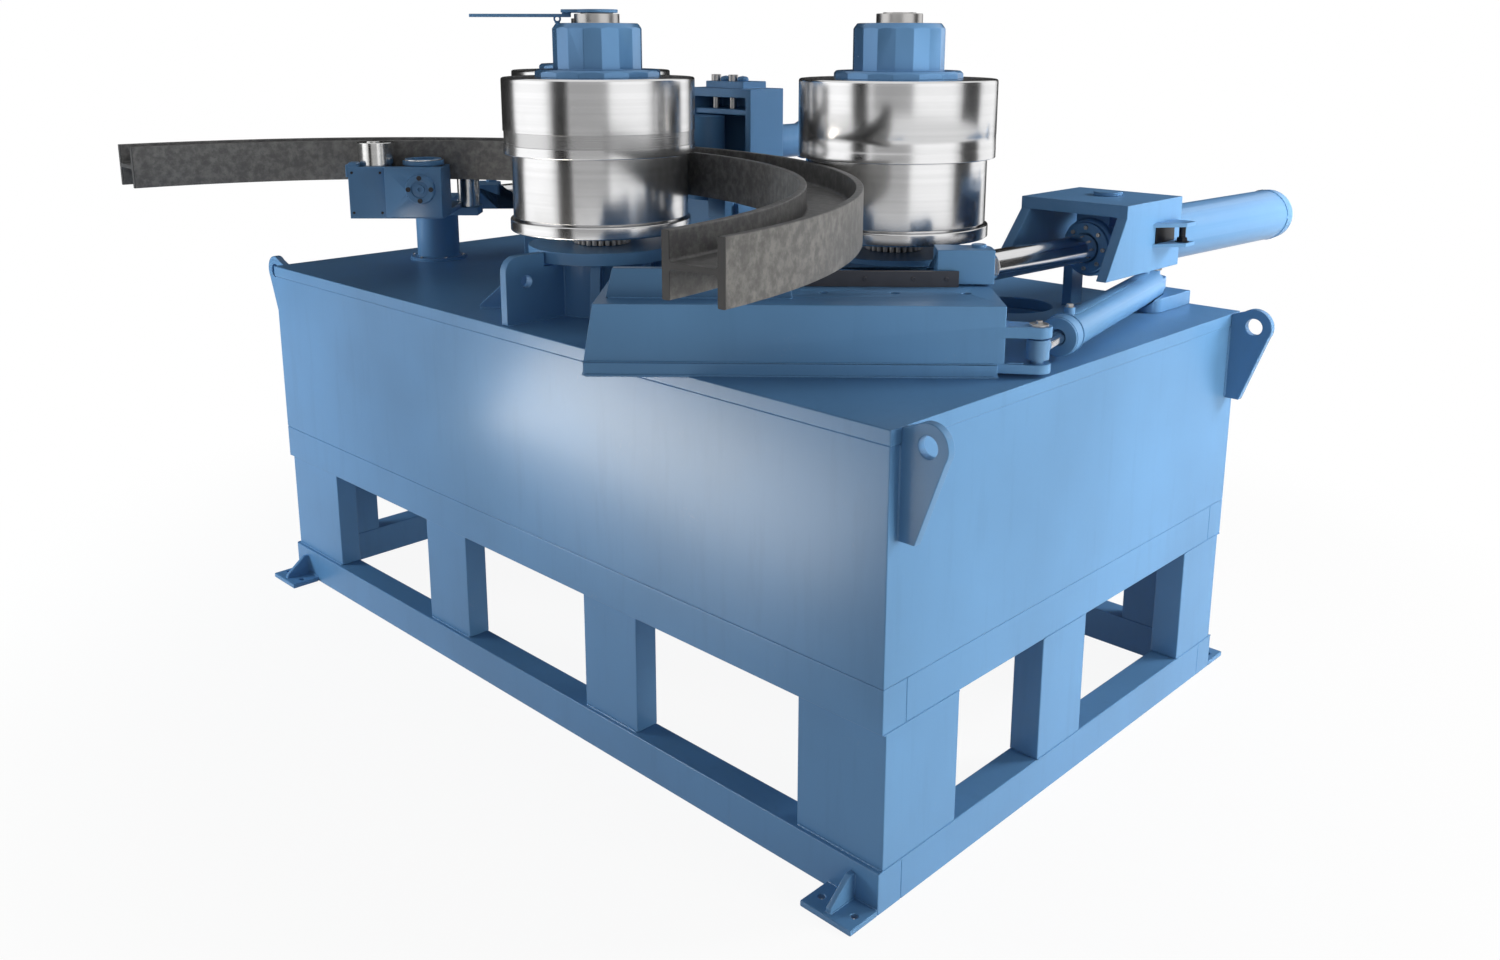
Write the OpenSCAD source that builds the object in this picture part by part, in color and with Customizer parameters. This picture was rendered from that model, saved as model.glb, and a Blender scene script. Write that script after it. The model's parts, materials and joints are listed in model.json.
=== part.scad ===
// Heavy profile bending machine: three vertical bending rolls on a welded
// table stand, with a bent H-beam gripped in the rolls.
// Units are millimetres, +Z is up, the floor is z = 0.
// The origin lies on the floor at the centre of the stand.
// X runs along the long sides and the front long side faces -Y.

/* [Stand] */
// Length of stand, housing and table
stand_l = 3600; // [3520:10:3900]
// Depth of stand, housing and table
stand_w = 2168; // [2120:4:2400]
// Height of the table's top face
table_z = 1500; // [1400:10:1600]
// Height of the bottom rails
rail_h = 140; // [110:5:180]
// Height of the seam between stand and housing
seam_z = 730; // [680:5:800]
// Height of the header beams over the windows
header_h = 144; // [100:4:200]
// Depth of rails, posts and headers into the stand
frame_t = 110; // [80:5:150]
// Set-back of the posts behind rail and header on the long sides
post_setback = 18; // [8:1:30]
// Thickness of the table plate
plate_t = 47; // [30:1:60]
// Overhang of the table plate past the housing
plate_lip = 3; // [1:1:8]
// Width of a window in the long sides
window_w = 757; // [680:1:820]
// Width of the posts between those windows
long_post_w = 288; // [240:1:320]
// Width of the left corner posts along the long sides
left_corner_w = 412; // [380:1:450]
// Width of the end sides' windows near the front
end_window_front_w = 476; // [420:1:520]
// Width of the end sides' windows near the back
end_window_back_w = 737; // [680:1:780]
// Width of the front corner posts along the end sides
end_corner_w = 378; // [340:1:420]
// Width of the post between an end side's windows
end_post_w = 273; // [240:1:300]
// Radius of the round service well in the table
well_r = 165; // [120:5:180]
// Depth of the service well
well_depth = 320; // [150:10:500]

/* [Lifting lugs and feet] */
// Thickness of a lifting lug
lug_t = 30; // [20:1:40]
// Radius of a lifting lug's round end
lug_r = 68; // [60:1:80]
// Radius of a lifting lug's hole
lug_hole_r = 32; // [20:1:36]
// Distance of the hole from the stand's end face
lug_reach = 92; // [85:1:110]
// Distance of the hole below the table's top face
lug_drop = 39; // [30:1:60]
// Length of a lug's weld along the end face
lug_weld = 332; // [280:2:400]
// Set-back of a lug from the long side
lug_inset = 44; // [30:1:80]
// Projection of an anchor foot from the long side
foot_out = 126; // [110:2:150]
// Width of an anchor foot
foot_w = 196; // [180:2:240]
// Thickness of an anchor foot's plate
foot_t = 20; // [14:1:30]
// Radius of an anchor foot's bolt holes
foot_hole_r = 11; // [8:1:14]
// Distance between an anchor foot's bolt holes
foot_pitch = 126; // [110:2:140]
// Height of an anchor foot's rib
foot_rib_h = 85; // [60:5:110]

/* [Bending rolls] */
// Distance of the central roll's axis in front of the stand's middle
roll_1_front = 604; // [590:1:615]
// Radius of a roll's lower drum, which bears on the beam
drum_r = 333; // [320:1:338]
// Radius of a roll's upper collar
collar_r = 362; // [350:1:370]
// Height of the collar's underside over the table
collar_z = 605; // [600:1:615]
// Height of the collar
collar_h = 280; // [260:2:300]
// Radius of the ring under a roll's drum
ring_r = 345; // [340:1:350]
// Height of the ring under a roll's drum
ring_h = 46; // [40:1:50]
// Height of the ring's underside over the table
ring_z = 315; // [312:1:320]
// Width of the dark groove between ring and drum
groove_h = 7; // [5:1:9]
// Radius of the roll spindles
spindle_r = 90; // [80:1:100]
// Number of flats round a hub
hub_flats = 16; // [12:2:20]
// Radius of a hub across its corners
hub_r = 167; // [160:1:180]
// Height of a hub
hub_h = 167; // [150:1:180]
// Radius of a hub's flange across its corners
hub_flange_r = 236; // [225:1:250]
// Height of a hub's flange
hub_flange_h = 28; // [20:1:40]
// Length of the locking lever from the roll's axis
lever_l = 465; // [380:5:500]

/* [Bent beam] */
// Inner radius of the bent beam
bend_r = 1620; // [1610:5:1630]
// Depth of the beam's section across its flanges
beam_d = 195; // [190:1:200]
// Width of the beam's flanges
flange_w = 168; // [160:1:172]
// Thickness of the beam's flanges
flange_t = 23; // [16:1:28]
// Thickness of the beam's web
web_t = 15; // [10:1:20]
// Height of the beam's underside over the table
beam_z = 424; // [420:1:428]
// Angle that the beam stops short of a half circle at each end
beam_end_a = 5.5; // [2:0.5:8]

/* [Side roll slides] */
// Angle of the side rolls round the bend, from its middle
side_roll_a = 24.44; // [24.2:0.02:24.7]
// Direction of the slides in plan, from the long side
slide_a = 43; // [42:0.5:44]
// Height of a slide bed
bed_h = 225; // [215:1:230]
// Depth of the right slide's front bed
bed_depth = 440; // [400:5:450]
// Distance from the bed's plan origin to its front face
bed_front = 853; // [840:1:870]
// Distance from the bed's plan origin to its inner end
bed_inner = 1034; // [1000:2:1050]
// Distance from the bed's plan origin to its outer end
bed_outer = 277; // [270:1:285]
// Lean of the bed's inner end
bed_lean = 32; // [20:1:40]
// Height of the lip along the bed's foot
lip_h = 40; // [30:1:50]
// Projection of the lip along the bed's foot
lip_out = 12; // [6:1:20]
// Half width of a roll carriage
carriage_half = 290; // [280:1:300]
// Travel of the roll carriages away from the beam
carriage_travel = 50; // [40:5:55]

/* [Main cylinders] */
// Height of the main cylinders' axes over the table
cyl_z = 275; // [273:1:280]
// Plan place of the right cylinder's swivel pin
cyl_pin_x = 1463; // [1455:1:1470]
// Plan place of the right cylinder's swivel pin
cyl_pin_y = 620; // [612:1:628]
// Direction of the cylinders in plan, from +Y towards +X
cyl_a = 3.5; // [2.5:0.5:4.5]
// Distance from the rod's eye to the swivel pin
cyl_reach = 760; // [750:2:766]
// Radius of the barrels
barrel_r = 107; // [100:1:112]
// Distance from the rod's eye to the barrel's front
barrel_front = 644; // [636:4:652]
// Distance from the rod's eye to the barrel's end
barrel_end = 2082; // [2000:10:2100]
// Radius of the rods
rod_r = 52; // [46:1:53]
// Radius of the rod eyes
eye_r = 55; // [54:1:57]
// Radius of the pins in the rod eyes
pin_r = 25; // [20:1:30]
// Inner width of a yoke
yoke_w = 350; // [340:5:356]
// Depth of a yoke's roof
yoke_d = 410; // [400:5:415]
// Thickness of a yoke's plates
yoke_t = 40; // [30:1:45]
// Height of a yoke's roof over the table
yoke_h = 460; // [455:5:470]

/* [Swing cylinder] */
// Height of the swing cylinder's axis over the table
swing_z = 86; // [82:1:90]
// Radius of its barrel
swing_r = 60; // [54:1:61]
// Radius of its rod
swing_rod_r = 24; // [20:1:30]
// Thickness of its anchor plate on the table
anchor_t = 55; // [40:1:56]
// Radius of its anchor plate's round front corners
anchor_r = 50; // [40:5:60]

/* [Beam guide] */
// Angle of the guide round the bend, from its middle
guide_a = 45.03; // [44.8:0.01:45.3]
// Distance of the guide column's axis outside the beam
guide_out = 261; // [250:1:275]
// Radius of the guide column
column_r = 98; // [85:1:105]
// Radius of the guide rollers
guide_r = 77; // [65:1:80]
// Height of the guide's tray over the table
tray_z = 275; // [265:1:285]
// Height of the guide's front wall
guide_wall_h = 220; // [200:1:225]

/* [Rear press roll] */
// Radius of the rear press roll
press_r = 80; // [70:1:85]
// Half width of the rear tower
tower_half = 180; // [170:1:200]
// Depth of the rear tower
tower_d = 195; // [180:1:220]
// Height of the rear tower over the table
tower_h = 826; // [800:2:850]
// Radius of the rear tower's cylinder
tower_cyl_r = 72; // [60:1:76]

/* [Hidden] */
$fn = 96;

paint = [0.33, 0.53, 0.72];
steel = [0.78, 0.78, 0.78];
dark_steel = [0.24, 0.24, 0.25];
scale_grey = [0.30, 0.30, 0.31];

// clearances
seat = 0.3;        // running faces and things that bear on each other
fit = 0.05;        // radial clearance of a shaft in its bore
clear = 5;         // moving pieces past fixed ones
open_pin = 2;      // radial clearance of the rod eyes on their pins

// stand
right_corner_w = stand_l - left_corner_w - 3 * window_w - 2 * long_post_w;
end_back_corner_w = stand_w - end_corner_w - end_window_front_w
    - end_window_back_w - end_post_w;
header_z = seam_z - header_h;
post_h = header_z - rail_h;
housing_h = table_z - plate_t - seam_z;
well_at = [1100, 560];

// plan places
bend_c = [0, -roll_1_front + drum_r + clear - bend_r];
bend_out = bend_r + beam_d;
function round_bend(r, a) = bend_c + r * [sin(a), cos(a)];
roll_1 = [0, -roll_1_front];
roll_2 = round_bend(bend_out + clear + drum_r, side_roll_a);
roll_3 = [-roll_2.x, roll_2.y];

// roll levels
ring_at = table_z + ring_z;
drum_at = ring_at + ring_h + groove_h;
collar_at = table_z + collar_z;
hub_at = collar_at + collar_h;
hub_top = hub_at + hub_flange_h + hub_h;
nut_h = 34;
nut_r = 84;
cap_r = 60;
cap_h = 38;
neck_r = 110;
base_top = table_z + 257;
spindle_sink = 48;

// slides, in a frame whose origin is the side roll's axis on the table,
// with +X along the slide, away from the beam
slide_u = [cos(slide_a), sin(slide_a)];
slide_n = [-sin(slide_a), cos(slide_a)];
// plan origin of the front bed's frame, and its place in the roll's frame
bed_at = [925, 30];
bed_shift = [(bed_at - roll_2) * slide_u, (bed_at - roll_2) * slide_n];
bed_gap = 2;
base_h = 200;
carriage_z = base_h + seat;
carriage_h = base_top - table_z - carriage_z;
cyl_dir = [sin(cyl_a), cos(cyl_a)];
cyl_pin = [cyl_pin_x, cyl_pin_y];
eye_at = cyl_pin - cyl_reach * cyl_dir;
eye_local = [(eye_at - roll_2) * slide_u, (eye_at - roll_2) * slide_n];
eye_h = 60;
lug_plate = 13;
fork_roof_t = 40;
yoke_roof_t = 45;
rod_l = 1100;
trunnion_r = 30;

// ---- stand ----

module box(x0, x1, y0, y1, z0, z1) {
    translate([x0, y0, z0]) cube([x1 - x0, y1 - y0, z1 - z0]);
}

module both_sides() {
    children();
    mirror([0, 1, 0]) children();
}

module both_ends() {
    children();
    mirror([1, 0, 0]) children();
}

module long_bars(z, h) {
    both_sides()
        box(-stand_l / 2, stand_l / 2, -stand_w / 2, -stand_w / 2 + frame_t, z, z + h);
}

module end_bars(z, h) {
    both_ends()
        box(stand_l / 2 - frame_t, stand_l / 2,
            -stand_w / 2 + frame_t, stand_w / 2 - frame_t, z, z + h);
}

module long_rails() { color(paint) long_bars(0, rail_h); }
module end_rails() { color(paint) end_bars(0, rail_h); }
module long_headers() { color(paint) long_bars(header_z, header_h); }
module end_headers() { color(paint) end_bars(header_z, header_h); }

// an L-shaped corner post, w_long along the long side and w_end along the end
module corner_post(w_long, w_end) {
    translate([0, 0, rail_h]) linear_extrude(post_h) polygon([
        [0, post_setback], [w_long, post_setback], [w_long, frame_t],
        [frame_t, frame_t], [frame_t, w_end], [0, w_end]]);
}

module corner_posts() {
    color(paint) {
        translate([-stand_l / 2, -stand_w / 2]) corner_post(left_corner_w, end_corner_w);
        translate([stand_l / 2, -stand_w / 2]) mirror([1, 0, 0])
            corner_post(right_corner_w, end_corner_w);
        translate([-stand_l / 2, stand_w / 2]) mirror([0, 1, 0])
            corner_post(left_corner_w, end_back_corner_w);
        translate([stand_l / 2, stand_w / 2]) mirror([1, 0, 0]) mirror([0, 1, 0])
            corner_post(right_corner_w, end_back_corner_w);
    }
}

module long_posts() {
    color(paint) both_sides() for (i = [1, 2]) {
        x = -stand_l / 2 + left_corner_w + i * window_w + (i - 1) * long_post_w;
        box(x, x + long_post_w, -stand_w / 2 + post_setback, -stand_w / 2 + frame_t,
            rail_h, header_z);
    }
}

module end_posts() {
    y = -stand_w / 2 + end_corner_w + end_window_front_w;
    color(paint) both_ends()
        box(stand_l / 2 - frame_t, stand_l / 2, y, y + end_post_w, rail_h, header_z);
}

module well(r, top) {
    translate([well_at.x, well_at.y, table_z - well_depth])
        cylinder(r = r, h = well_depth + top);
}

module housing() {
    color(paint) difference() {
        box(-stand_l / 2, stand_l / 2, -stand_w / 2, stand_w / 2, seam_z, seam_z + housing_h);
        well(well_r, 0);
    }
}

module table_plate() {
    color(paint) difference() {
        box(-stand_l / 2 - plate_lip, stand_l / 2 + plate_lip, -stand_w / 2 - plate_lip,
            stand_w / 2 + plate_lip, table_z - plate_t, table_z);
        well(well_r, 10);
    }
}

// ---- lifting lugs and feet ----

// outline in the XZ plane, with the end face at x = 0 and z = 0 at the table's top
module lug_outline() {
    lean = -8;
    difference() {
        union() {
            translate([lug_reach, -lug_drop]) circle(r = lug_r);
            polygon([
                [0, -lug_weld], [lug_reach * 0.62, -lug_weld],
                [lug_reach + lug_r * cos(lean), -lug_drop + lug_r * sin(lean)],
                [lug_reach, lug_r - lug_drop], [0, -plate_lip]]);
        }
        translate([lug_reach, -lug_drop]) circle(r = lug_hole_r);
        // relief round the table plate's lip
        translate([-1, -plate_t - 1]) square([plate_lip + 1.3, plate_t + 1]);
    }
}

module lifting_lugs() {
    color(paint) both_sides() both_ends()
        translate([stand_l / 2, -stand_w / 2 + lug_inset + lug_t, table_z])
            rotate([90, 0, 0]) linear_extrude(lug_t) lug_outline();
}

module anchor_feet() {
    foot_x = stand_l / 2 - foot_w / 2;
    foot_y = -stand_w / 2 - foot_out / 2 - 3;
    rib_t = 20;
    rib_out = foot_out - 16;
    color(paint) both_sides() both_ends() {
        difference() {
            box(stand_l / 2 - foot_w, stand_l / 2, -stand_w / 2 - foot_out, -stand_w / 2,
                0, foot_t);
            for (s = [-1, 1])
                translate([foot_x + s * foot_pitch / 2, foot_y, -1])
                    cylinder(r = foot_hole_r, h = foot_t + 2);
        }
        translate([foot_x - rib_t / 2, -stand_w / 2, foot_t]) rotate([90, 0, 90])
            linear_extrude(rib_t) polygon([
                [0, 0], [-rib_out, 0], [-rib_out, foot_t * 0.7],
                [-rib_out * 0.2, foot_rib_h], [0, foot_rib_h]]);
    }
}

// ---- rolls ----

// a regular polygon with flats
module flats(n, r) {
    polygon([for (i = [0 : n - 1]) r * [cos(360 * (i + 0.5) / n), sin(360 * (i + 0.5) / n)]]);
}

// drum with the collar disc stacked on it; depth of the collar's shallow band
module die(band) {
    edge = 6;
    seam = 0.5;
    top = collar_at + collar_h;
    band_z = collar_at + 35;
    band_h = 50;
    color(steel) rotate_extrude() polygon([
        [spindle_r, drum_at], [drum_r - edge, drum_at], [drum_r, drum_at + edge],
        [drum_r, collar_at - seam], [spindle_r, collar_at - seam]]);
    color(steel) rotate_extrude() polygon([
        [spindle_r, collar_at], [collar_r - edge, collar_at], [collar_r, collar_at + edge],
        [collar_r, band_z], [collar_r - band, band_z],
        [collar_r - band, band_z + band_h], [collar_r, band_z + band_h],
        [collar_r, top - 2 * edge], [collar_r - 2 * edge, top], [spindle_r, top]]);
}

module ring() {
    edge = 5;
    neck_r = drum_r - 22;
    color(steel) rotate_extrude() polygon([
        [spindle_r, ring_at], [ring_r - edge, ring_at], [ring_r, ring_at + edge],
        [ring_r, ring_at + ring_h - edge], [ring_r - edge, ring_at + ring_h],
        [neck_r, ring_at + ring_h], [neck_r, drum_at], [spindle_r, drum_at]]);
}

module hub() {
    edge = 10;
    color(paint) difference() {
        translate([0, 0, hub_at]) union() {
            intersection() {
                linear_extrude(hub_flange_h) flats(hub_flats, hub_flange_r);
                rotate_extrude() polygon([
                    [0, 0], [hub_flange_r, 0], [hub_flange_r, hub_flange_h - edge],
                    [hub_flange_r - edge, hub_flange_h], [0, hub_flange_h]]);
            }
            intersection() {
                linear_extrude(hub_flange_h + hub_h) flats(hub_flats, hub_r);
                rotate_extrude() polygon([
                    [0, 0], [hub_r, 0], [hub_r, hub_flange_h + hub_h - 2 * edge],
                    [hub_r - 1.5 * edge, hub_flange_h + hub_h], [0, hub_flange_h + hub_h]]);
            }
        }
        translate([0, 0, hub_at - 1]) cylinder(r = spindle_r, h = hub_flange_h + hub_h + 2);
    }
}

// shaft from the base's bearing to the clamping nut, with a thick neck under the ring
module spindle() {
    z0 = base_top + seat;
    color(steel) rotate_extrude() polygon([
        [0, base_top - spindle_sink], [spindle_r, base_top - spindle_sink], [spindle_r, z0],
        [neck_r, z0], [neck_r, ring_at], [spindle_r, ring_at],
        [spindle_r, hub_top], [nut_r, hub_top], [nut_r, hub_top + nut_h],
        [cap_r, hub_top + nut_h], [cap_r, hub_top + cap_h], [0, hub_top + cap_h]]);
}

module roll_1_die() { translate(roll_1) die(3); }
module roll_1_ring() { translate(roll_1) ring(); }
module roll_1_hub() { translate(roll_1) hub(); }
module roll_1_spindle() { translate(roll_1) spindle(); }
module roll_2_die() { translate(roll_2) die(0.5); }
module roll_2_ring() { translate(roll_2) ring(); }
module roll_2_hub() { translate(roll_2) hub(); }
module roll_2_spindle() { translate(roll_2) spindle(); }
module roll_3_die() { translate(roll_3) die(0.5); }
module roll_3_ring() { translate(roll_3) ring(); }
module roll_3_hub() { translate(roll_3) hub(); }
module roll_3_spindle() { translate(roll_3) spindle(); }

// locking lever on the central roll's nut: a round-ended plate and a lower flat bar
module lock_lever() {
    t = 12;
    head_r = 78;
    head_l = 128;
    drop = 16;
    bar_r = 13;
    color(paint) translate([roll_1.x, roll_1.y, hub_top + cap_h]) rotate([0, 0, slide_a + 180]) {
        linear_extrude(t) {
            circle(r = head_r);
            translate([0, -40]) square([head_l, 80]);
        }
        translate([head_l - 30, -bar_r, -drop]) cube([30, 2 * bar_r, drop + 1]);
        translate([0, 0, -drop]) linear_extrude(t) difference() {
            union() {
                translate([head_l - 30, -bar_r]) square([lever_l - head_l + 30, 2 * bar_r]);
                translate([lever_l, 0]) circle(r = bar_r);
            }
            translate([lever_l, 0]) circle(r = bar_r / 2);
        }
    }
}

// ---- central pedestal ----

module central_base() {
    post_r = 200;
    flange_r = 282;
    flange_h = 47;
    rib_t = 37;
    rib_foot = 480;
    rib_top = 262;
    rib_h = base_top - table_z - flange_h;
    lug_l = 465;
    lug_h = 252;
    lug_round = 60;
    hole_r = 24;
    color(paint) translate([roll_1.x, roll_1.y, table_z]) difference() {
        union() {
            cylinder(r = post_r, h = rib_h + 1);
            translate([0, 0, rib_h]) cylinder(r = flange_r, h = flange_h);
            // sloped ribs round the post, with the front one left to the lug
            for (a = [0, 45, 90, 135, 180, 225])
                rotate([0, 0, a]) translate([0, rib_t / 2, 0]) rotate([90, 0, 0])
                    linear_extrude(rib_t) polygon([
                        [0, 0], [a == 0 ? 300 : rib_foot, 0], [a == 0 ? 300 : rib_foot, 14],
                        [rib_top, rib_h], [0, rib_h]]);
            rotate([0, 0, 315]) translate([0, rib_t / 2, 0]) rotate([90, 0, 0])
                linear_extrude(rib_t) polygon([
                    [0, 0], [330, 0], [330, 14], [rib_top, rib_h], [0, rib_h]]);
            // front lug with a rounded corner and an eye
            rotate([0, 0, 270]) translate([0, rib_t / 2, 0]) rotate([90, 0, 0])
                linear_extrude(rib_t) difference() {
                    union() {
                        polygon([
                            [0, 0], [lug_l, 0], [lug_l, lug_h - lug_round],
                            [lug_l - lug_round, lug_h - lug_round], [lug_l - lug_round, lug_h],
                            [flange_r + 8, lug_h], [flange_r + 8, rib_h - 10], [0, rib_h - 10]]);
                        translate([lug_l - lug_round, lug_h - lug_round]) circle(r = lug_round);
                    }
                    translate([lug_l - 92, lug_h - 98]) circle(r = hole_r);
                }
        }
        // bearing bore of the spindle
        translate([0, 0, base_top - table_z - spindle_sink - seat])
            cylinder(r = spindle_r + fit, h = spindle_sink + 10);
    }
}

// ---- slides ----

module at_slide_2() {
    translate([roll_2.x, roll_2.y, table_z]) rotate([0, 0, slide_a]) children();
}

module at_slide_3() { mirror([1, 0, 0]) at_slide_2() children(); }

module at_bed() {
    translate([bed_at.x, bed_at.y, table_z]) rotate([0, 0, slide_a]) children();
}

// front bed of the right slide, with the swing cylinder's clevis
module slide_bed() {
    hole_r = 15;
    low = [12, 42];
    high = [125, 160];
    color(paint) at_bed() difference() {
        union() {
            // main block: the inner end leans, the outer end is upright
            translate([0, -bed_front + bed_depth, 0]) rotate([90, 0, 0])
                linear_extrude(bed_depth) polygon([
                    [-bed_inner, lip_h - 1], [bed_outer, lip_h - 1], [bed_outer, bed_h],
                    [-bed_inner + bed_lean, bed_h]]);
            box(-bed_inner, bed_outer - 22, -bed_front - lip_out, -bed_front + bed_depth, 0, lip_h);
            // clevis lugs of the swing cylinder
            for (z = [low, high])
                translate([0, 0, z[0]]) linear_extrude(z[1] - z[0]) difference() {
                    union() {
                        translate(swing_front) circle(r = 42);
                        polygon([
                            [bed_outer - 60, -bed_front + 4], [swing_front.x, swing_front.y - 42],
                            [swing_front.x, swing_front.y + 42], [bed_outer - 60, -bed_front + 120]]);
                    }
                    translate(swing_front) circle(r = swing_pin_r + seat);
                }
        }
        // corner cut back under the rod
        translate([bed_outer, -bed_front + bed_depth, bed_h - 40]) rotate([0, 0, 45])
            translate([-10, -20, 0]) cube([20, 40, 50]);
        // bolt holes along the right part of the bed's top
        for (i = [0 : 2])
            translate([bed_outer - 96 - i * 230, -bed_front + 203, bed_h - 40])
                cylinder(r = hole_r, h = 50);
    }
}

// raised guide plate along the bed's inner part
module slide_block() {
    color(paint) at_bed() translate([0, -bed_front + 130, 0]) rotate([90, 0, 0])
        linear_extrude(35) polygon([
            [-bed_inner + 62, bed_h], [-380, bed_h], [-402, bed_h + 95],
            [-bed_inner + 84, bed_h + 95]]);
}

// upright dark steel way plate on the bed's outer part
module slide_strip() {
    front = -bed_front + 306;
    color(dark_steel) at_bed() box(-340, 170, front, front + 12, bed_h, bed_h + 53);
}

// fixed base that a side roll's carriage slides on, with gib rails at its sides
module slide_base(front, inner, outer) {
    gib = 40;
    half = carriage_half + seat;
    color(paint) union() {
        box(-inner, outer, -front, half + gib, 0, base_h);
        box(-inner, outer, half, half + gib, base_h - 1, base_h + 40);
    }
}

module slide_base_2() {
    at_slide_2() slide_base(bed_front - bed_depth - bed_shift.y, 340, bed_outer + bed_shift.x);
}

module slide_base_3() {
    at_slide_3() slide_base(carriage_half, 340, bed_outer);
}

// moving roll carriage with the fork that holds the rod's pin
module carriage() {
    top = carriage_z + carriage_h;
    play = 1;
    fork_z = cyl_z - eye_h / 2 - play - lug_plate;
    roof_z = cyl_z + eye_h / 2 + play;
    roof_top = roof_z + fork_roof_t;
    web_x = eye_local.x - eye_r - 30;
    front = eye_local.y - 70;
    skirt_t = 11;
    color(paint) difference() {
        union() {
            box(-carriage_half, carriage_half - 90, -carriage_half, carriage_half,
                carriage_z, top - 20);
            translate([0, 0, top - 21]) cylinder(r = 282, h = 21);
            // web between carriage and fork
            box(web_x - 60, web_x, front, -carriage_half + 10, fork_z, top - 22);
            box(web_x - 60, web_x, front, eye_local.y + 50, fork_z, roof_top);
            // lower plate, roof and front skirt round the rod's eye
            translate([0, 0, fork_z]) linear_extrude(lug_plate) {
                translate(eye_local) circle(r = 45);
                translate([web_x - 1, front]) square([eye_local.x - web_x + 46, 70]);
                translate([web_x - 1, front]) square([eye_local.x - web_x + 1, 115]);
            }
            translate([0, 0, roof_z]) linear_extrude(fork_roof_t) {
                translate(eye_local) circle(r = 45);
                translate([web_x - 1, front]) square([eye_local.x - web_x + 46, 70]);
                translate([web_x - 1, front]) square([eye_local.x - web_x + 1, 115]);
            }
            box(web_x - 1, eye_local.x + 45, front, front + skirt_t, fork_z, roof_top);
            translate([eye_local.x, eye_local.y, fork_z])
                cylinder(r = pin_r, h = roof_top - fork_z + 10);
        }
        translate([0, 0, top - spindle_sink - seat])
            cylinder(r = spindle_r + fit, h = spindle_sink + 10);
    }
}

module carriage_2() { at_slide_2() carriage(); }
module carriage_3() { at_slide_3() carriage(); }

// ---- main cylinders ----

module at_pin_2() {
    translate([cyl_pin.x, cyl_pin.y, table_z]) children();
}

module mirrored() { mirror([1, 0, 0]) children(); }

// bracket with a roof over the barrel: two short side plates, the inner one with a
// leg at its back that stands on the table
module yoke() {
    half = yoke_w / 2;
    roof_z = yoke_h - yoke_roof_t;
    front = -245;
    back = front + yoke_d;
    short_z = 205;
    // run of the plates' sloped front edges per height
    rake_in = 0.9;
    rake_out = 0.58;
    leg = back - 85;
    color(paint) difference() {
        union() {
            box(-half - yoke_t, half + yoke_t, front, back, roof_z, yoke_h);
            translate([-half - yoke_t, 0, 0]) rotate([90, 0, 90]) linear_extrude(yoke_t)
                polygon([[front, roof_z + 1], [front, roof_z],
                    [front - rake_in * (roof_z - short_z), short_z], [leg, short_z],
                    [leg, 0], [back, 0], [back, roof_z + 1]]);
            translate([half, 0, 0]) rotate([90, 0, 90]) linear_extrude(yoke_t)
                polygon([[front, roof_z + 1], [front, roof_z],
                    [front - rake_out * (roof_z - short_z), short_z], [back, short_z],
                    [back, roof_z + 1]]);
        }
        translate([0, 0, roof_z - 1])
            cylinder(r = trunnion_r + fit, h = yoke_roof_t + 2);
    }
}

module yoke_2() { at_pin_2() yoke(); }
module yoke_3() { mirrored() at_pin_2() yoke(); }

// barrel along +Y with its swivel pin; y = 0 is the pin
module barrel() {
    y0 = barrel_front - cyl_reach;
    y1 = barrel_end - cyl_reach;
    round = 34;
    wall_z = yoke_h - yoke_roof_t;
    rod_in = rod_l - barrel_front + carriage_travel;
    color(paint) rotate([0, 0, -cyl_a]) {
        difference() {
            union() {
                translate([0, 0, cyl_z]) rotate([-90, 0, 0]) rotate_extrude() polygon(concat(
                    [[0, y0], [barrel_r - 6, y0], [barrel_r, y0 + 6]],
                    [for (a = [0 : 15 : 90])
                        [barrel_r - round + round * cos(a), y1 - round + round * sin(a)]],
                    [[0, y1]]));
                // trunnion block under the roof
                box(-70, 70, -90, 90, cyl_z, wall_z - clear);
                cylinder_z(0, 0, cyl_z, wall_z + yoke_roof_t + 1, trunnion_r);
                cylinder_z(0, 0, yoke_h + seat, yoke_h + 14, 52);
            }
            translate([0, y0 - 1, cyl_z]) rotate([-90, 0, 0])
                cylinder(r = rod_r + fit, h = rod_in + 20);
        }
    }
}

module cylinder_z(x, y, z0, z1, r) {
    translate([x, y, z0]) cylinder(r = r, h = z1 - z0);
}

// rod along +Y from its eye; y = 0 is the swivel pin
module rod() {
    color(steel) rotate([0, 0, -cyl_a]) translate([0, -cyl_reach, cyl_z]) difference() {
        union() {
            translate([0, eye_r - 3, 0]) rotate([-90, 0, 0])
                cylinder(r = rod_r, h = rod_l - eye_r + 3);
            translate([0, 0, -eye_h / 2]) cylinder(r = eye_r, h = eye_h);
        }
        translate([0, 0, -eye_h]) cylinder(r = pin_r + open_pin, h = 2 * eye_h);
    }
}

module barrel_2() { at_pin_2() barrel(); }
module barrel_3() { mirrored() at_pin_2() barrel(); }
module rod_2() { at_pin_2() rod(); }
module rod_3() { mirrored() at_pin_2() rod(); }

// ---- swing cylinder of the right bed ----

// pin places: the front one in the slide's frame, the rear one in plan
swing_front = [383, -826];
swing_rear = [1490, 985];
swing_from = bed_at + swing_front.x * slide_u + swing_front.y * slide_n;
swing_v = swing_rear - swing_from;
swing_l = norm(swing_v);
swing_pin_r = 20;
swing_pin_h = 50;
swing_back = swing_l - 66;

module at_swing() {
    translate([swing_from.x, swing_from.y, table_z + swing_z])
        rotate([0, 0, atan2(swing_v.y, swing_v.x)]) children();
}

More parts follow.
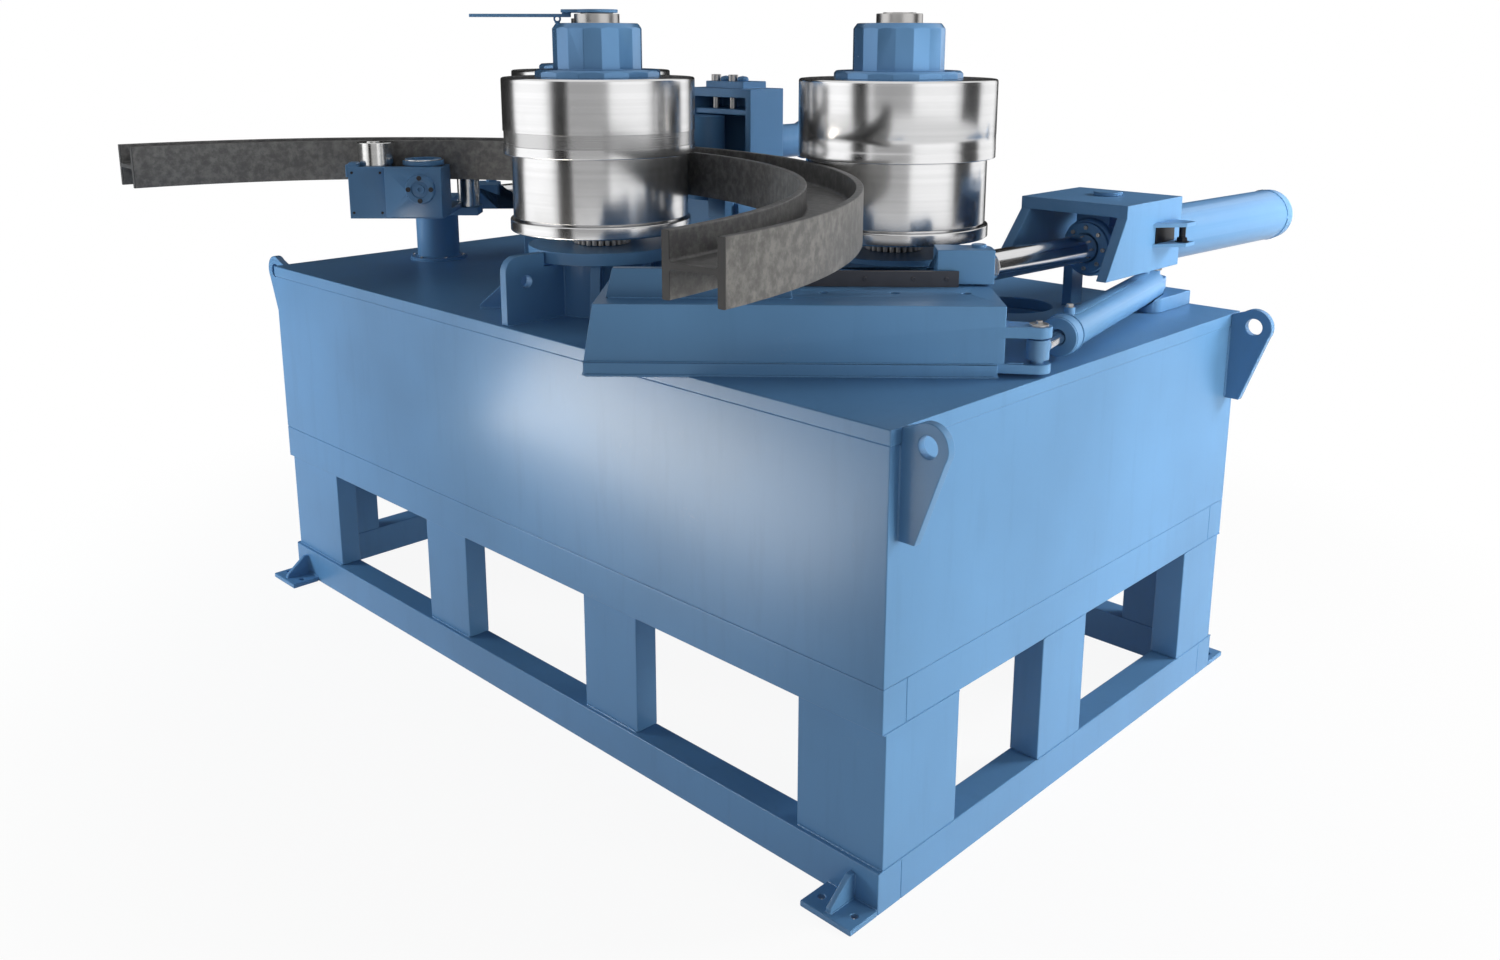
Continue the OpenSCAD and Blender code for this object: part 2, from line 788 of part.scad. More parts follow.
// plate on the table, hollowed under the barrel, with the pin of the barrel's ear
module swing_anchor() {
    x0 = 1400;
    x1 = 1600;
    y0 = 790;
    y1 = stand_w / 2 - 6;
    color(paint) {
        difference() {
            translate([0, 0, table_z]) linear_extrude(anchor_t) {
                translate([x0 + anchor_r, y0]) square([x1 - x0 - 2 * anchor_r, y1 - y0]);
                translate([x0, y0 + anchor_r]) square([x1 - x0, y1 - y0 - anchor_r]);
                for (x = [x0 + anchor_r, x1 - anchor_r])
                    translate([x, y0 + anchor_r]) circle(r = anchor_r);
            }
            at_swing() rotate([0, 90, 0]) translate([0, 0, swing_l / 2])
                cylinder(r = swing_r + clear, h = swing_back + clear - swing_l / 2);
        }
        cylinder_z(swing_rear.x, swing_rear.y, table_z + anchor_t - 1,
            table_z + swing_z + swing_pin_h, swing_pin_r);
    }
}

module swing_barrel() {
    ear = 44;
    ear_h = 24;
    start = 190;
    back = swing_back;
    color(paint) at_swing() difference() {
        union() {
            rotate([0, 90, 0]) translate([0, 0, start + 20])
                cylinder(r = swing_r, h = back - start - 20);
            // front collar and the oil port's boss
            rotate([0, 90, 0]) translate([0, 0, start]) cylinder(r = swing_r + 6, h = 55);
            cylinder_z(start + 100, 0, 0, swing_r + 22, 18);
            translate([back - 10, -ear, -ear_h]) cube([swing_l - back + 10, 2 * ear, 2 * ear_h]);
            translate([swing_l, 0, -ear_h]) cylinder(r = ear, h = 2 * ear_h);
        }
        translate([swing_l, 0, -2 * ear_h]) cylinder(r = swing_pin_r + fit, h = 4 * ear_h);
        rotate([0, 90, 0]) translate([0, 0, start - 10]) cylinder(r = swing_rod_r + fit, h = 300);
    }
}

module swing_rod() {
    color(steel) at_swing() {
        rotate([0, 90, 0]) translate([0, 0, 30]) cylinder(r = swing_rod_r, h = 420);
        translate([0, 0, -32]) cylinder(r = 36, h = 64);
        translate([0, 0, -73]) cylinder(r = swing_pin_r, h = 150);
    }
}

// ---- beam guide at the left ----

// frame with its origin on the table in the middle of the inner flange's face,
// +X along the beam towards the rolls and +Y outwards across the beam
module at_guide() {
    p = round_bend(bend_r, -guide_a);
    translate([p.x, p.y, table_z]) rotate([0, 0, guide_a]) children();
}

// place across the beam of a round piece of radius r that stands clear of the inner
// or outer flange at x
function guide_inset(r, x) = sqrt(pow(bend_r - clear - r, 2) - x * x) - bend_r;
function guide_bulge(r, x) = sqrt(pow(bend_out + clear + r, 2) - x * x) - bend_out;
guide_outer_r = 50;
guide_wall = 16;
guide_left = -217;
inner_x = guide_left + guide_wall + clear + 1 + guide_r;
inner_at = [inner_x, guide_inset(guide_r, inner_x)];
outer_at = [201, beam_d + guide_bulge(guide_outer_r, 201)];
guide_front = inner_at.y - guide_r - clear - guide_wall;
guide_right = 178;
arm_drop = 36;
guide_pin_r = 20;
tray_t = 24;

module guide_column() {
    color(paint) at_guide() translate([0, beam_d + guide_out, 0]) {
        cylinder(r = column_r, h = tray_z);
        cylinder(r = 130, h = 14);
    }
}

module guide_head() {
    wall = guide_wall;
    proud = 14;
    cap_at = [83, -93];
    cover_at = [90, 127];
    tray_back = beam_d + guide_out + column_r;
    pad = 60;
    color(paint) at_guide() difference() {
        union() {
            box(guide_left, guide_right, guide_front, beam_d + 60, tray_z, tray_z + tray_t);
            box(-100, 100, beam_d + 59, tray_back, tray_z, tray_z + tray_t);
            // front wall, thicker at its right part
            box(guide_left, guide_right, guide_front, guide_front + wall,
                tray_z, tray_z + guide_wall_h);
            box(-60, guide_right, guide_front - proud, guide_front + 1,
                tray_z + 6, tray_z + guide_wall_h - 4);
            // end walls, up to the beam
            box(guide_left, guide_left + wall, guide_front, guide_inset(0, guide_left),
                tray_z, tray_z + guide_wall_h);
            box(guide_right - wall, guide_right, guide_front, guide_inset(0, guide_right),
                tray_z, tray_z + guide_wall_h - 4);
            // pad that the beam rests on
            box(-pad, pad, 24, beam_d - 24, tray_z + tray_t - 1, beam_z - seat);
            // low arm out to the outer roller
            box(guide_right - 60, outer_at.x + 50, outer_at.y - 60, outer_at.y + 60,
                tray_z - arm_drop, tray_z + 1);
            // bolted cover on the front wall
            translate([cover_at[0], guide_front - proud + 1, tray_z + cover_at[1]])
                rotate([90, 0, 0]) cylinder(r = 63, h = 11);
            // round cap over the head
            cylinder_z(cap_at.x, cap_at.y, tray_z + tray_t - 1, tray_z + guide_wall_h + 8, 40);
            cylinder_z(cap_at.x, cap_at.y, tray_z + guide_wall_h + 2,
                tray_z + guide_wall_h + 22, 86);
        }
        translate([inner_at.x, inner_at.y, tray_z - 1])
            cylinder(r = guide_pin_r + fit, h = tray_t + 2);
        // seat of the outer roller, sunk through the tray into the arm
        translate([outer_at.x, outer_at.y, tray_z]) cylinder(r = guide_outer_r + clear, h = tray_t + 2);
        translate([outer_at.x, outer_at.y, tray_z - arm_drop - 1])
            cylinder(r = guide_pin_r + fit, h = arm_drop + 3);
    }
}

// roller with a pin in the plate under it; foot is the plate's top, deep its thickness
module guide_roller(at, r, foot, deep, top) {
    color(steel) at_guide() {
        cylinder_z(at.x, at.y, foot + seat, top, r);
        cylinder_z(at.x, at.y, foot - deep + 2, foot + seat + 1, guide_pin_r);
    }
}

module guide_roller_inner() {
    guide_roller(inner_at, guide_r, tray_z + tray_t, tray_t, beam_z + flange_w);
}

module guide_roller_outer() {
    guide_roller(outer_at, guide_outer_r, tray_z, arm_drop, beam_z + flange_w - 30);
}

// ---- rear press roll ----

press_a = -1.9;
press_at = round_bend(bend_out + clear + press_r, press_a);
tower_y = bend_c.y + bend_out + 101;
tower_wall = 30;
press_foot = 370;
lintel = 36;
crown = 28;
bridge_t = 22;
bridge_top = tower_h - lintel - 48;
press_top = bridge_top - bridge_t - clear;

module rear_tower() {
    half = tower_half;
    color(paint) translate([0, tower_y, table_z]) difference() {
        union() {
            for (s = [-1, 1])
                box(min(s * half, s * (half - tower_wall)), max(s * half, s * (half - tower_wall)),
                    0, tower_d, 0, tower_h);
            box(-half, half, tower_d - tower_wall, tower_d, 0, tower_h);
            box(-half, half, 0, tower_d, tower_h - lintel, tower_h);
            box(-100, 120, 20, tower_d - 40, tower_h - 1, tower_h + crown);
            // bridge under the screws
            box(-half, half, 10, tower_d, bridge_top - bridge_t, bridge_top);
            // shelf that carries the press roll's foot
            box(-half, half, -70, tower_d, press_foot - 60, press_foot - seat);
            box(-half, half, -70, 0, 0, press_foot - seat);
            // pad under the beam's outer flange
            box(60, 160, -126, -60, press_foot - 60, beam_z - seat);
        }
        translate([press_at.x, press_at.y - tower_y, press_foot - 50])
            cylinder(r = 25 + fit, h = 60);
    }
}

module rear_roller() {
    color(paint) translate([press_at.x, press_at.y, table_z]) {
        cylinder_z(0, 0, press_foot, press_top, press_r);
        cylinder_z(0, 0, press_foot - 40, press_foot + 1, 25);
    }
}

// two steel screws from the bridge to the tower's head, and their nuts on top
module rear_screws() {
    color(steel) for (x = [-78, 22])
        translate([x, tower_y + 60, table_z]) {
            cylinder_z(0, 0, bridge_top, tower_h - lintel, 14);
            cylinder_z(0, 0, tower_h + crown, tower_h + crown + 26, 20);
        }
}

module rear_cylinder() {
    l = 380;
    axis_drop = 236;
    color(paint) translate([0, tower_y + tower_d, table_z + tower_h - axis_drop]) rotate([-90, 0, 0]) {
        cylinder(r = tower_cyl_r, h = l);
        translate([0, 0, l - 60]) cylinder(r = tower_cyl_r + 12, h = 36);
        cylinder(r = tower_cyl_r + 16, h = 24);
    }
}

// ---- beam ----

module h_beam() {
    z0 = table_z + beam_z;
    web_z = z0 + flange_w / 2;
    r0 = bend_r;
    r1 = bend_r + beam_d;
    color(scale_grey) translate([bend_c.x, bend_c.y, 0]) rotate([0, 0, beam_end_a])
        rotate_extrude(angle = 180 - 2 * beam_end_a, $fn = 180) polygon([
            [r0, z0], [r0 + flange_t, z0], [r0 + flange_t, web_z - web_t / 2],
            [r1 - flange_t, web_z - web_t / 2], [r1 - flange_t, z0], [r1, z0],
            [r1, z0 + flange_w], [r1 - flange_t, z0 + flange_w],
            [r1 - flange_t, web_z + web_t / 2], [r0 + flange_t, web_z + web_t / 2],
            [r0 + flange_t, z0 + flange_w], [r0, z0 + flange_w]]);
}

long_rails();
end_rails();
corner_posts();
long_posts();
end_posts();
long_headers();
end_headers();
housing();
table_plate();
lifting_lugs();
anchor_feet();
central_base();
roll_1_die();
roll_1_ring();
roll_1_hub();
roll_1_spindle();
lock_lever();
roll_2_die();
roll_2_ring();
roll_2_hub();
roll_2_spindle();
roll_3_die();
roll_3_ring();
roll_3_hub();
roll_3_spindle();
slide_bed();
slide_block();
slide_strip();
slide_base_2();
slide_base_3();
carriage_2();
carriage_3();
yoke_2();
yoke_3();
barrel_2();
barrel_3();
rod_2();
rod_3();
swing_anchor();
swing_barrel();
swing_rod();
guide_column();
guide_head();
guide_roller_inner();
guide_roller_outer();
rear_tower();
rear_roller();
rear_screws();
rear_cylinder();
h_beam();
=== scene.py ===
"""Profile bending machine: finishes, rounded edges, turned rolls, the bent beam
and the small fittings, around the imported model. Lengths are metres."""

import json
import math

import bmesh
import bpy
import numpy as np
from mathutils import Matrix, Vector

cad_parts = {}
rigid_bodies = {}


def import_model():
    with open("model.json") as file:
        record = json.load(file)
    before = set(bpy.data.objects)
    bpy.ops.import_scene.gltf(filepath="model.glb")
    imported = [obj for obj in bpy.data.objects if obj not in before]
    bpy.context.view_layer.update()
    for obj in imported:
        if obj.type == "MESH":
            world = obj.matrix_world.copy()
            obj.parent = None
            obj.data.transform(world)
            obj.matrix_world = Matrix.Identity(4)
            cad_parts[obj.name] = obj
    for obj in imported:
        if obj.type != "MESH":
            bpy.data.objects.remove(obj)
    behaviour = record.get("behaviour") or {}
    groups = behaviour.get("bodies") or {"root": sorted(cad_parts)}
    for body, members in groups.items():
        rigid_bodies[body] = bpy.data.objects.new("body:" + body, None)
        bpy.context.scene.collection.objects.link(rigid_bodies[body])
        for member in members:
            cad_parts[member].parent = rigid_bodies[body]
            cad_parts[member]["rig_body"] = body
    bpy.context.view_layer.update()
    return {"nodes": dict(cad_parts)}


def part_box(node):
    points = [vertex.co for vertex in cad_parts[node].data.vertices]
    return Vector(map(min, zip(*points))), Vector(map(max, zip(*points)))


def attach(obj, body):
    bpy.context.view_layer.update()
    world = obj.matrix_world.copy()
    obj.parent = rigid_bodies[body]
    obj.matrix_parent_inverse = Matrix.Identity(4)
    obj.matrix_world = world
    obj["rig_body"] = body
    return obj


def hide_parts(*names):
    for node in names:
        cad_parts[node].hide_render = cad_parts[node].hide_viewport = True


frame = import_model()
NODES = frame["nodes"]


# ---------------------------------------------------------------- sizes and places

def lowest(node):
    """Corner of a node's box with the least x, y and z."""
    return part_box(node)[0]


def highest(node):
    """Corner of a node's box with the greatest x, y and z."""
    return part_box(node)[1]


def centre_of(node):
    """Middle of a node's box, in plan."""
    lo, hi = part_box(node)
    return ((lo.x + hi.x) / 2, (lo.y + hi.y) / 2)


def turned(points, at, turn):
    """Points turned about Z by an angle in degrees, then moved."""
    x, y, z = np.asarray(points, float).T
    c, s = math.cos(math.radians(turn)), math.sin(math.radians(turn))
    return np.stack([x * c - y * s, x * s + y * c, z], 1) + at


TURN = 2 * math.pi
RIGHT, BACK, FRONT, UP = (1, 0, 0), (0, 1, 0), (0, -1, 0), (0, 0, 1)

# stand and table
TABLE = highest("table_plate").z
HALF_L, HALF_W = highest("housing").x, highest("housing").y
POST_FACE = highest("long_posts").y
RAIL_TOP, HEADER_LOW = highest("long_rails").z, lowest("long_headers").z

# bent beam: the bend's centre and inner radius, how far each end stops short of a half turn,
# and the H section
BEND_Y, BEND_R = -1.886, 1.620
BEAM_END = math.radians(5.5)
DEPTH, FLANGE_T, WEB_T = 0.195, 0.023, 0.015
BEAM_Z = lowest("h_beam").z
FLANGE_W = highest("h_beam").z - BEAM_Z

# rolls: radii, and the heights where their shapes change
DRUM_R, COLLAR_R, RING_R, SHAFT_R = 0.333, 0.362, 0.345, 0.090
RING_Z, DRUM_Z = lowest("roll_1_ring").z, lowest("roll_1_die").z
COLLAR_Z, DIE_TOP = TABLE + 0.605, highest("roll_1_die").z
WORN_LOW, WORN_HIGH = COLLAR_Z + 0.035, COLLAR_Z + 0.085
NUT_TOP = TABLE + 1.080
ROLL_AT = {k: centre_of(f"roll_{k}_die") for k in (1, 2, 3)}

# right slide bed with its clevis, and the swing cylinder from the clevis to its anchor
BED_AT, BED_TURN = (0.925, 0.030, TABLE), 43.0
CLEVIS = (0.383, -0.826, 0)
SWING_FROM = turned([CLEVIS], BED_AT, BED_TURN)[0]
SWING_TO = (1.490, 0.985, TABLE)

# right side cylinder: its swivel pin, lean and height; the left one is its mirror image
PIN_AT, CYL_TURN, CYL_Z = (1.463, 0.620, TABLE), -3.5, 0.275

# beam guide: its angle along the bend, and its column's axis
GUIDE_TURN = 45.03
GUIDE_AT = (-BEND_R * math.sin(math.radians(GUIDE_TURN)),
            BEND_Y + BEND_R * math.cos(math.radians(GUIDE_TURN)), TABLE)
COLUMN = (0, 0.456, 0)


# ---------------------------------------------------------------- shader maths

class Sock:
    """One output socket; operators on it add Math nodes."""

    def __init__(self, shade, out):
        self.shade, self.out = shade, out

    def __add__(self, other):
        return self.shade.math("ADD", self, other)

    def __sub__(self, other):
        return self.shade.math("SUBTRACT", self, other)

    def __rsub__(self, other):
        return self.shade.math("SUBTRACT", other, self)

    def __mul__(self, other):
        return self.shade.math("MULTIPLY", self, other)

    def __pow__(self, other):
        return self.shade.math("POWER", self, other)

    __radd__ = __add__
    __rmul__ = __mul__

    def between(self, low, high):
        """0 below low, 1 above high, smooth in between."""
        return self.shade.add("ShaderNodeMapRange", {"interpolation_type": "SMOOTHSTEP"},
                              {"Value": self, "From Min": low, "From Max": high})


class Shade:
    """A material being made: one Principled shader and the nodes that feed it."""

    def __init__(self, name):
        self.mat = bpy.data.materials.new(name)
        self.mat.use_nodes = True
        self.tree = self.mat.node_tree
        self.bsdf = self.tree.nodes["Principled BSDF"]
        self.at = self.add("ShaderNodeTexCoord", {}, {}, "Object")

    def add(self, kind, settings, inputs, output=0):
        """A node of a type; its settings come first, then the values or links of its sockets."""
        node = self.tree.nodes.new(kind)
        for key, value in settings.items():
            setattr(node, key, value)
        pairs = inputs.items() if isinstance(inputs, dict) else enumerate(inputs)
        for key, value in pairs:
            self.plug(node.inputs[key], value)
        return Sock(self, node.outputs[output])

    def plug(self, socket, value):
        """Links a socket, or gives it a value; a colour may have three numbers."""
        if isinstance(value, Sock):
            self.tree.links.new(value.out, socket)
        elif socket.type == "RGBA" and len(value) == 3:
            socket.default_value = (*value, 1)
        else:
            socket.default_value = value

    def math(self, operation, *values):
        """A Math node on values and links."""
        return self.add("ShaderNodeMath", {"operation": operation}, values)

    def placed(self, where=(0, 0, 0), scale=(1, 1, 1)):
        """Object coordinates moved and stretched."""
        return self.add("ShaderNodeMapping", {"vector_type": "POINT"},
                        {"Vector": self.at, "Location": where, "Scale": scale})

    def noise(self, size, detail=2.0, rough=0.5, at=None, kind="3D"):
        """Cloudy pattern from 0 to 1; size is its grain in metres."""
        key = "W" if kind == "1D" else "Vector"
        return self.add("ShaderNodeTexNoise", {"noise_dimensions": kind},
                        {key: at or self.at, "Scale": 1 / size, "Detail": detail,
                         "Roughness": rough})

    def split(self, vector=None):
        """The three numbers of a vector; by default x, y and z of the object coordinates."""
        node = self.add("ShaderNodeSeparateXYZ", {}, {"Vector": vector or self.at}).out.node
        return [Sock(self, node.outputs[k]) for k in range(3)]

    def from_axis(self, at):
        """Distance in plan from an upright axis, and the height."""
        x, y, z = self.split(self.placed(where=(-at[0], -at[1], 0)))
        return (x * x + y * y) ** 0.5, z

    def mix(self, share, a, b):
        """Colour a where share is 0, b where it is 1."""
        node = self.tree.nodes.new("ShaderNodeMix")
        node.data_type = "RGBA"
        for key, value in ((0, share), (6, a), (7, b)):
            self.plug(node.inputs[key], value)
        return Sock(self, node.outputs[2])

    def bump(self, height, depth, strength):
        """Lets a pattern tilt the shading; depth is in metres."""
        self.plug(self.bsdf.inputs["Normal"], self.add(
            "ShaderNodeBump", {}, {"Height": height, "Distance": depth, "Strength": strength}))

    def set(self, **values):
        """Values or links for the shader's sockets, with _ for a space in their names."""
        for key, value in values.items():
            self.plug(self.bsdf.inputs[key.replace("_", " ")], value)
        return self.mat

    def emit(self, colour):
        """A plain glow of a colour."""
        return self.add("ShaderNodeEmission", {}, {"Color": colour, "Strength": 1.0})

    def surface(self, shader):
        """Shows a shader in place of the Principled one."""
        self.tree.links.new(shader.out, self.tree.nodes["Material Output"].inputs["Surface"])

    def backdrop_rays(self):
        """1 for the rays that show the white backdrop: camera, glossy and transmission rays."""
        node = self.add("ShaderNodeLightPath", {}, {}).out.node
        camera, glossy, through = (Sock(self, node.outputs[f"Is {kind} Ray"])
                                   for kind in ("Camera", "Glossy", "Transmission"))
        return self.math("MAXIMUM", self.math("MAXIMUM", camera, glossy), through)


class WorldShade(Shade):
    """The same operators on the nodes of the world."""

    def __init__(self, world):
        self.tree = world.node_tree
        self.at = self.add("ShaderNodeTexCoord", {}, {}, "Generated")


# ---------------------------------------------------------------- finishes

BLUE = (0.100, 0.238, 0.445)


def tint(colour, k):
    """A colour made k times as bright."""
    return tuple(c * k for c in colour)


def enamel(name, colour, rough, shine, metal=0.0):
    """Sprayed machine enamel: slow tone changes, orange peel, scuffs and faint runs."""
    s = Shade(name)
    cloud = s.noise(0.9, 3)
    patch = s.noise(0.16, 4, 0.6)
    peel = s.noise(0.0035, 2)
    runs = s.noise(0.05, 3, 0.6, s.placed(scale=(1, 1, 0.12)))
    tone = s.mix(cloud.between(0.3, 0.7), tint(colour, 0.9), tint(colour, 1.08))
    tone = s.mix(runs.between(0.5, 0.75) * 0.16, tone, tint(colour, 0.72))
    scuff = patch.between(0.60, 0.78) * s.noise(0.012, 5, 0.7).between(0.52, 0.7)
    tone = s.mix(scuff * 0.22, tone, (0.30, 0.36, 0.42))
    s.bump(peel + patch * 2.0, 0.00035, 0.35)
    return s.set(Base_Color=tone, Metallic=metal, Specular_IOR_Level=shine,
                 Roughness=rough + (cloud - 0.5) * 0.12 + scuff * 0.14,
                 Coat_Weight=0.06, Coat_Roughness=0.2)


def turned_steel(name, colour, rough, centre=None, worn=None):
    """Ground or turned steel: fine rings that follow height and radius, and soft wear bands;
    worn gives the heights of a duller band."""
    s = Shade(name)
    if centre:
        radius, z = s.from_axis(centre)
        run = z + radius
    else:
        run = z = s.split()[2]
    fine = s.noise(0.0016, 2, 0.6, run, "1D")
    band = s.noise(0.03, 3, 0.6, run, "1D")
    cloud = s.noise(0.12, 3)
    tone = s.mix(band.between(0.3, 0.75), tint(colour, 0.96), tint(colour, 1.03))
    tone = s.mix(cloud.between(0.5, 0.8) * 0.15, tone, tint(colour, 0.7))
    dull = 0.0
    if worn:
        low, high = worn
        dull = z.between(low - 0.002, low) * (1.0 - z.between(high, high + 0.002))
        tone = s.mix(dull, tone, tint(colour, 0.74))
    s.bump(fine + band * 0.6, 0.00012, 0.12)
    return s.set(Base_Color=tone, Metallic=1.0,
                 Roughness=rough + (fine - 0.5) * 0.1 + (cloud - 0.5) * 0.08 + dull * 0.05)


def polished_rod(name):
    """Hard chrome: mirror-like, with faint lengthwise wiping marks."""
    s = Shade(name)
    wipe = s.noise(0.004, 3, 0.6, s.placed(scale=(1, 0.03, 1)))
    s.bump(wipe, 0.00003, 0.3)
    return s.set(Base_Color=s.mix(wipe, (0.66, 0.66, 0.67), (0.74, 0.74, 0.75)), Metallic=1.0,
                 Roughness=0.12 + wipe * 0.08)


def rod_with_eye(name, pin):
    """Chromed rod whose eye, within a radius of the pin's axis, is painted."""
    s = Shade(name)
    rod = s.from_axis(pin)[0].between(0.062, 0.063)
    return s.set(Base_Color=s.mix(rod, tint(BLUE, 0.9), (0.70, 0.70, 0.71)), Metallic=rod,
                 Roughness=0.36 - rod * 0.2 + s.noise(0.004, 2) * 0.04)


def mill_scale(name):
    """Hot-rolled skin: near-black scale, paler worn patches, fine pitting and dark sawn ends."""
    s = Shade(name)
    patch = s.noise(0.032, 5, 0.66)
    speck = s.noise(0.006, 3, 0.7)
    flake = s.add("ShaderNodeTexVoronoi", {"feature": "F1"},
                  {"Vector": s.at, "Scale": 55.0, "Randomness": 1.0}, "Color")
    tone = s.mix(patch.between(0.36, 0.68), (0.088, 0.088, 0.089), (0.172, 0.171, 0.169))
    tone = s.mix(s.split(flake)[0] * 0.22, tone, (0.060, 0.060, 0.062))
    tone = s.mix(speck.between(0.62, 0.75) * 0.3, tone, (0.20, 0.18, 0.16))
    x, y, _ = s.split()
    aside = (x * x) ** 0.5
    past_cut = (y - BEND_Y) * math.cos(BEAM_END) - aside * math.sin(BEAM_END)
    tone = s.mix(past_cut.between(0.0012, 0.004), (0.040, 0.040, 0.042), tone)
    s.bump(patch * 2.0 + speck, 0.0006, 0.5)
    return s.set(Base_Color=tone, Metallic=0.25, Roughness=0.52 + (patch - 0.5) * 0.2)


def dull_steel(name, colour, rough):
    """Plain machined or blackened steel: cloudy tone and a fine grain."""
    s = Shade(name)
    cloud, grain = s.noise(0.05, 3), s.noise(0.0012, 2)
    s.bump(grain, 0.0001, 0.4)
    return s.set(Base_Color=s.mix(cloud, tint(colour, 0.85), tint(colour, 1.1)), Metallic=1.0,
                 Roughness=rough + (cloud - 0.5) * 0.15)


MAT = {
    "machine_paint": enamel("machine_enamel", BLUE, 0.36, 0.21),
    "stand_paint": enamel("stand_enamel", BLUE, 0.36, 0.21),
    # the machine blue darkened to 0.72 for the slide block: painted shade of the beam over it
    "block_shade_paint": enamel("block_shade_enamel", tint(BLUE, 0.72), 0.4, 0.18),
    "hub_paint": enamel("hub_enamel", tint(BLUE, 1.1), 0.24, 0.5, 0.4),
    "spindle_steel": dull_steel("spindle_steel", (0.46, 0.45, 0.44), 0.3),
    "chromed_rod": polished_rod("chromed_rod"),
    "guide_steel": turned_steel("guide_steel", (0.66, 0.66, 0.65), 0.2),
    "black_screw": dull_steel("black_screw", (0.034, 0.036, 0.042), 0.42),
    "swing_rod": rod_with_eye("swing_rod_finish", SWING_FROM),
    "way_steel": dull_steel("way_steel", (0.10, 0.10, 0.11), 0.42),
    "beam_scale": mill_scale("mill_scale"),
    "bolt": dull_steel("bolt_steel", (0.42, 0.41, 0.40), 0.35),
}
for k, at in ROLL_AT.items():
    MAT[f"roll_{k}"] = turned_steel(f"roll_steel_{k}", (0.65, 0.65, 0.655), 0.2, centre=at,
                                    worn=(WORN_LOW, WORN_HIGH) if k == 1 else None)


# ---------------------------------------------------------------- mesh making

def finish_mesh(mesh, angle):
    """Smooth shading, broken at edges sharper than an angle in degrees."""
    mesh.polygons.foreach_set("use_smooth", [True] * len(mesh.polygons))
    mesh.set_sharp_from_angle(angle=math.radians(angle))
    mesh.update()


def piece(name, verts, faces, finish, body, angle=35, stands_for=()):
    """A new object from points and faces, with doubles merged and faces turned outwards."""
    mesh = bpy.data.meshes.new(name)
    mesh.from_pydata(np.asarray(verts, float).tolist(), [], [list(map(int, f)) for f in faces])
    bm = bmesh.new()
    bm.from_mesh(mesh)
    bmesh.ops.remove_doubles(bm, verts=bm.verts, dist=1e-6)
    bmesh.ops.recalc_face_normals(bm, faces=bm.faces)
    bm.to_mesh(mesh)
    bm.free()
    obj = bpy.data.objects.new(name, mesh)
    bpy.context.scene.collection.objects.link(obj)
    mesh.materials.append(MAT[finish])
    finish_mesh(mesh, angle)
    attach(obj, body)
    if stands_for:
        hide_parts(*stands_for)


def dressed(node, finish, width=0.003, angle=32, merge=True):
    """A copy of a CAD node with rounded edges, which stands for it; merge joins its flat faces."""
    source = NODES[node]
    mesh = source.data.copy()
    bm = bmesh.new()
    bm.from_mesh(mesh)
    bmesh.ops.remove_doubles(bm, verts=bm.verts, dist=2e-5)
    if merge:
        bmesh.ops.dissolve_limit(bm, angle_limit=math.radians(0.4), verts=bm.verts, edges=bm.edges)
    bm.to_mesh(mesh)
    bm.free()
    obj = bpy.data.objects.new(f"{node}_body", mesh)
    bpy.context.scene.collection.objects.link(obj)
    mesh.materials.clear()
    mesh.materials.append(MAT[finish])
    finish_mesh(mesh, angle)
    edges = obj.modifiers.new("edges", "BEVEL")
    edges.width, edges.segments = width, 2
    edges.limit_method, edges.angle_limit = "ANGLE", math.radians(angle - 2)
    edges.use_clamp_overlap = False
    edges.harden_normals = True
    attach(obj, source["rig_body"])
    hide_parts(node)


def grid(points, wrap_u=False, wrap_v=True):
    """Quads over a grid of points [u, v]; a wrapped direction joins its last row to its first."""
    u, v = points.shape[:2]
    i, j = np.meshgrid(np.arange(u if wrap_u else u - 1), np.arange(v if wrap_v else v - 1),
                       indexing="ij")
    i2, j2 = (i + 1) % u, (j + 1) % v
    faces = np.stack([i * v + j, i * v + j2, i2 * v + j2, i2 * v + j], -1).reshape(-1, 4)
    return points.reshape(-1, 3), faces.tolist()


def capped(rows):
    """Closed outlines joined one to the next, with flat ends."""
    verts, faces = grid(rows)
    n, last = rows.shape[1], len(verts)
    return verts, faces + [list(range(n)), list(range(last - n, last))]


def join(*parts):
    """Several (points, faces) as one."""
    verts, faces, base = [], [], 0
    for v, f in parts:
        verts.append(np.asarray(v, float))
        faces += [[base + k for k in face] for face in f]
        base += len(v)
    return np.concatenate(verts), faces


def placed(part, at=(0, 0, 0), turn=0.0, mirror=False):
    """A (points, faces) part turned about Z and moved; mirror then flips it across x = 0."""
    verts, faces = part
    verts = turned(verts, at, turn)
    return (verts * (-1, 1, 1) if mirror else verts), faces


def fitting(name, parts, finish, body="stand", at=(0, 0, 0), turn=0.0, mirror=False):
    """Small parts drawn round one origin, joined and set in place as one piece."""
    piece(name, *placed(join(*parts), at, turn, mirror), finish, body)


def eased(points, radius, steps=4, closed=True):
    """A polyline with each corner replaced by a parabola of about that radius."""
    points = np.asarray(points, float)
    n = len(points)
    radii = np.broadcast_to(radius, n)
    out = []
    for k in range(n):
        c = points[k]
        if not closed and k in (0, n - 1) or radii[k] == 0:
            out.append(c[None])
            continue
        a, b = points[k - 1] - c, points[(k + 1) % n] - c
        la, lb = np.linalg.norm(a), np.linalg.norm(b)
        reach = min(radii[k], 0.45 * la, 0.45 * lb)
        s = np.linspace(0, 1, steps + 1)[:, None]
        out.append((1 - s) ** 2 * (c + a / la * reach) + 2 * s * (1 - s) * c
                   + s ** 2 * (c + b / lb * reach))
    return np.concatenate(out)


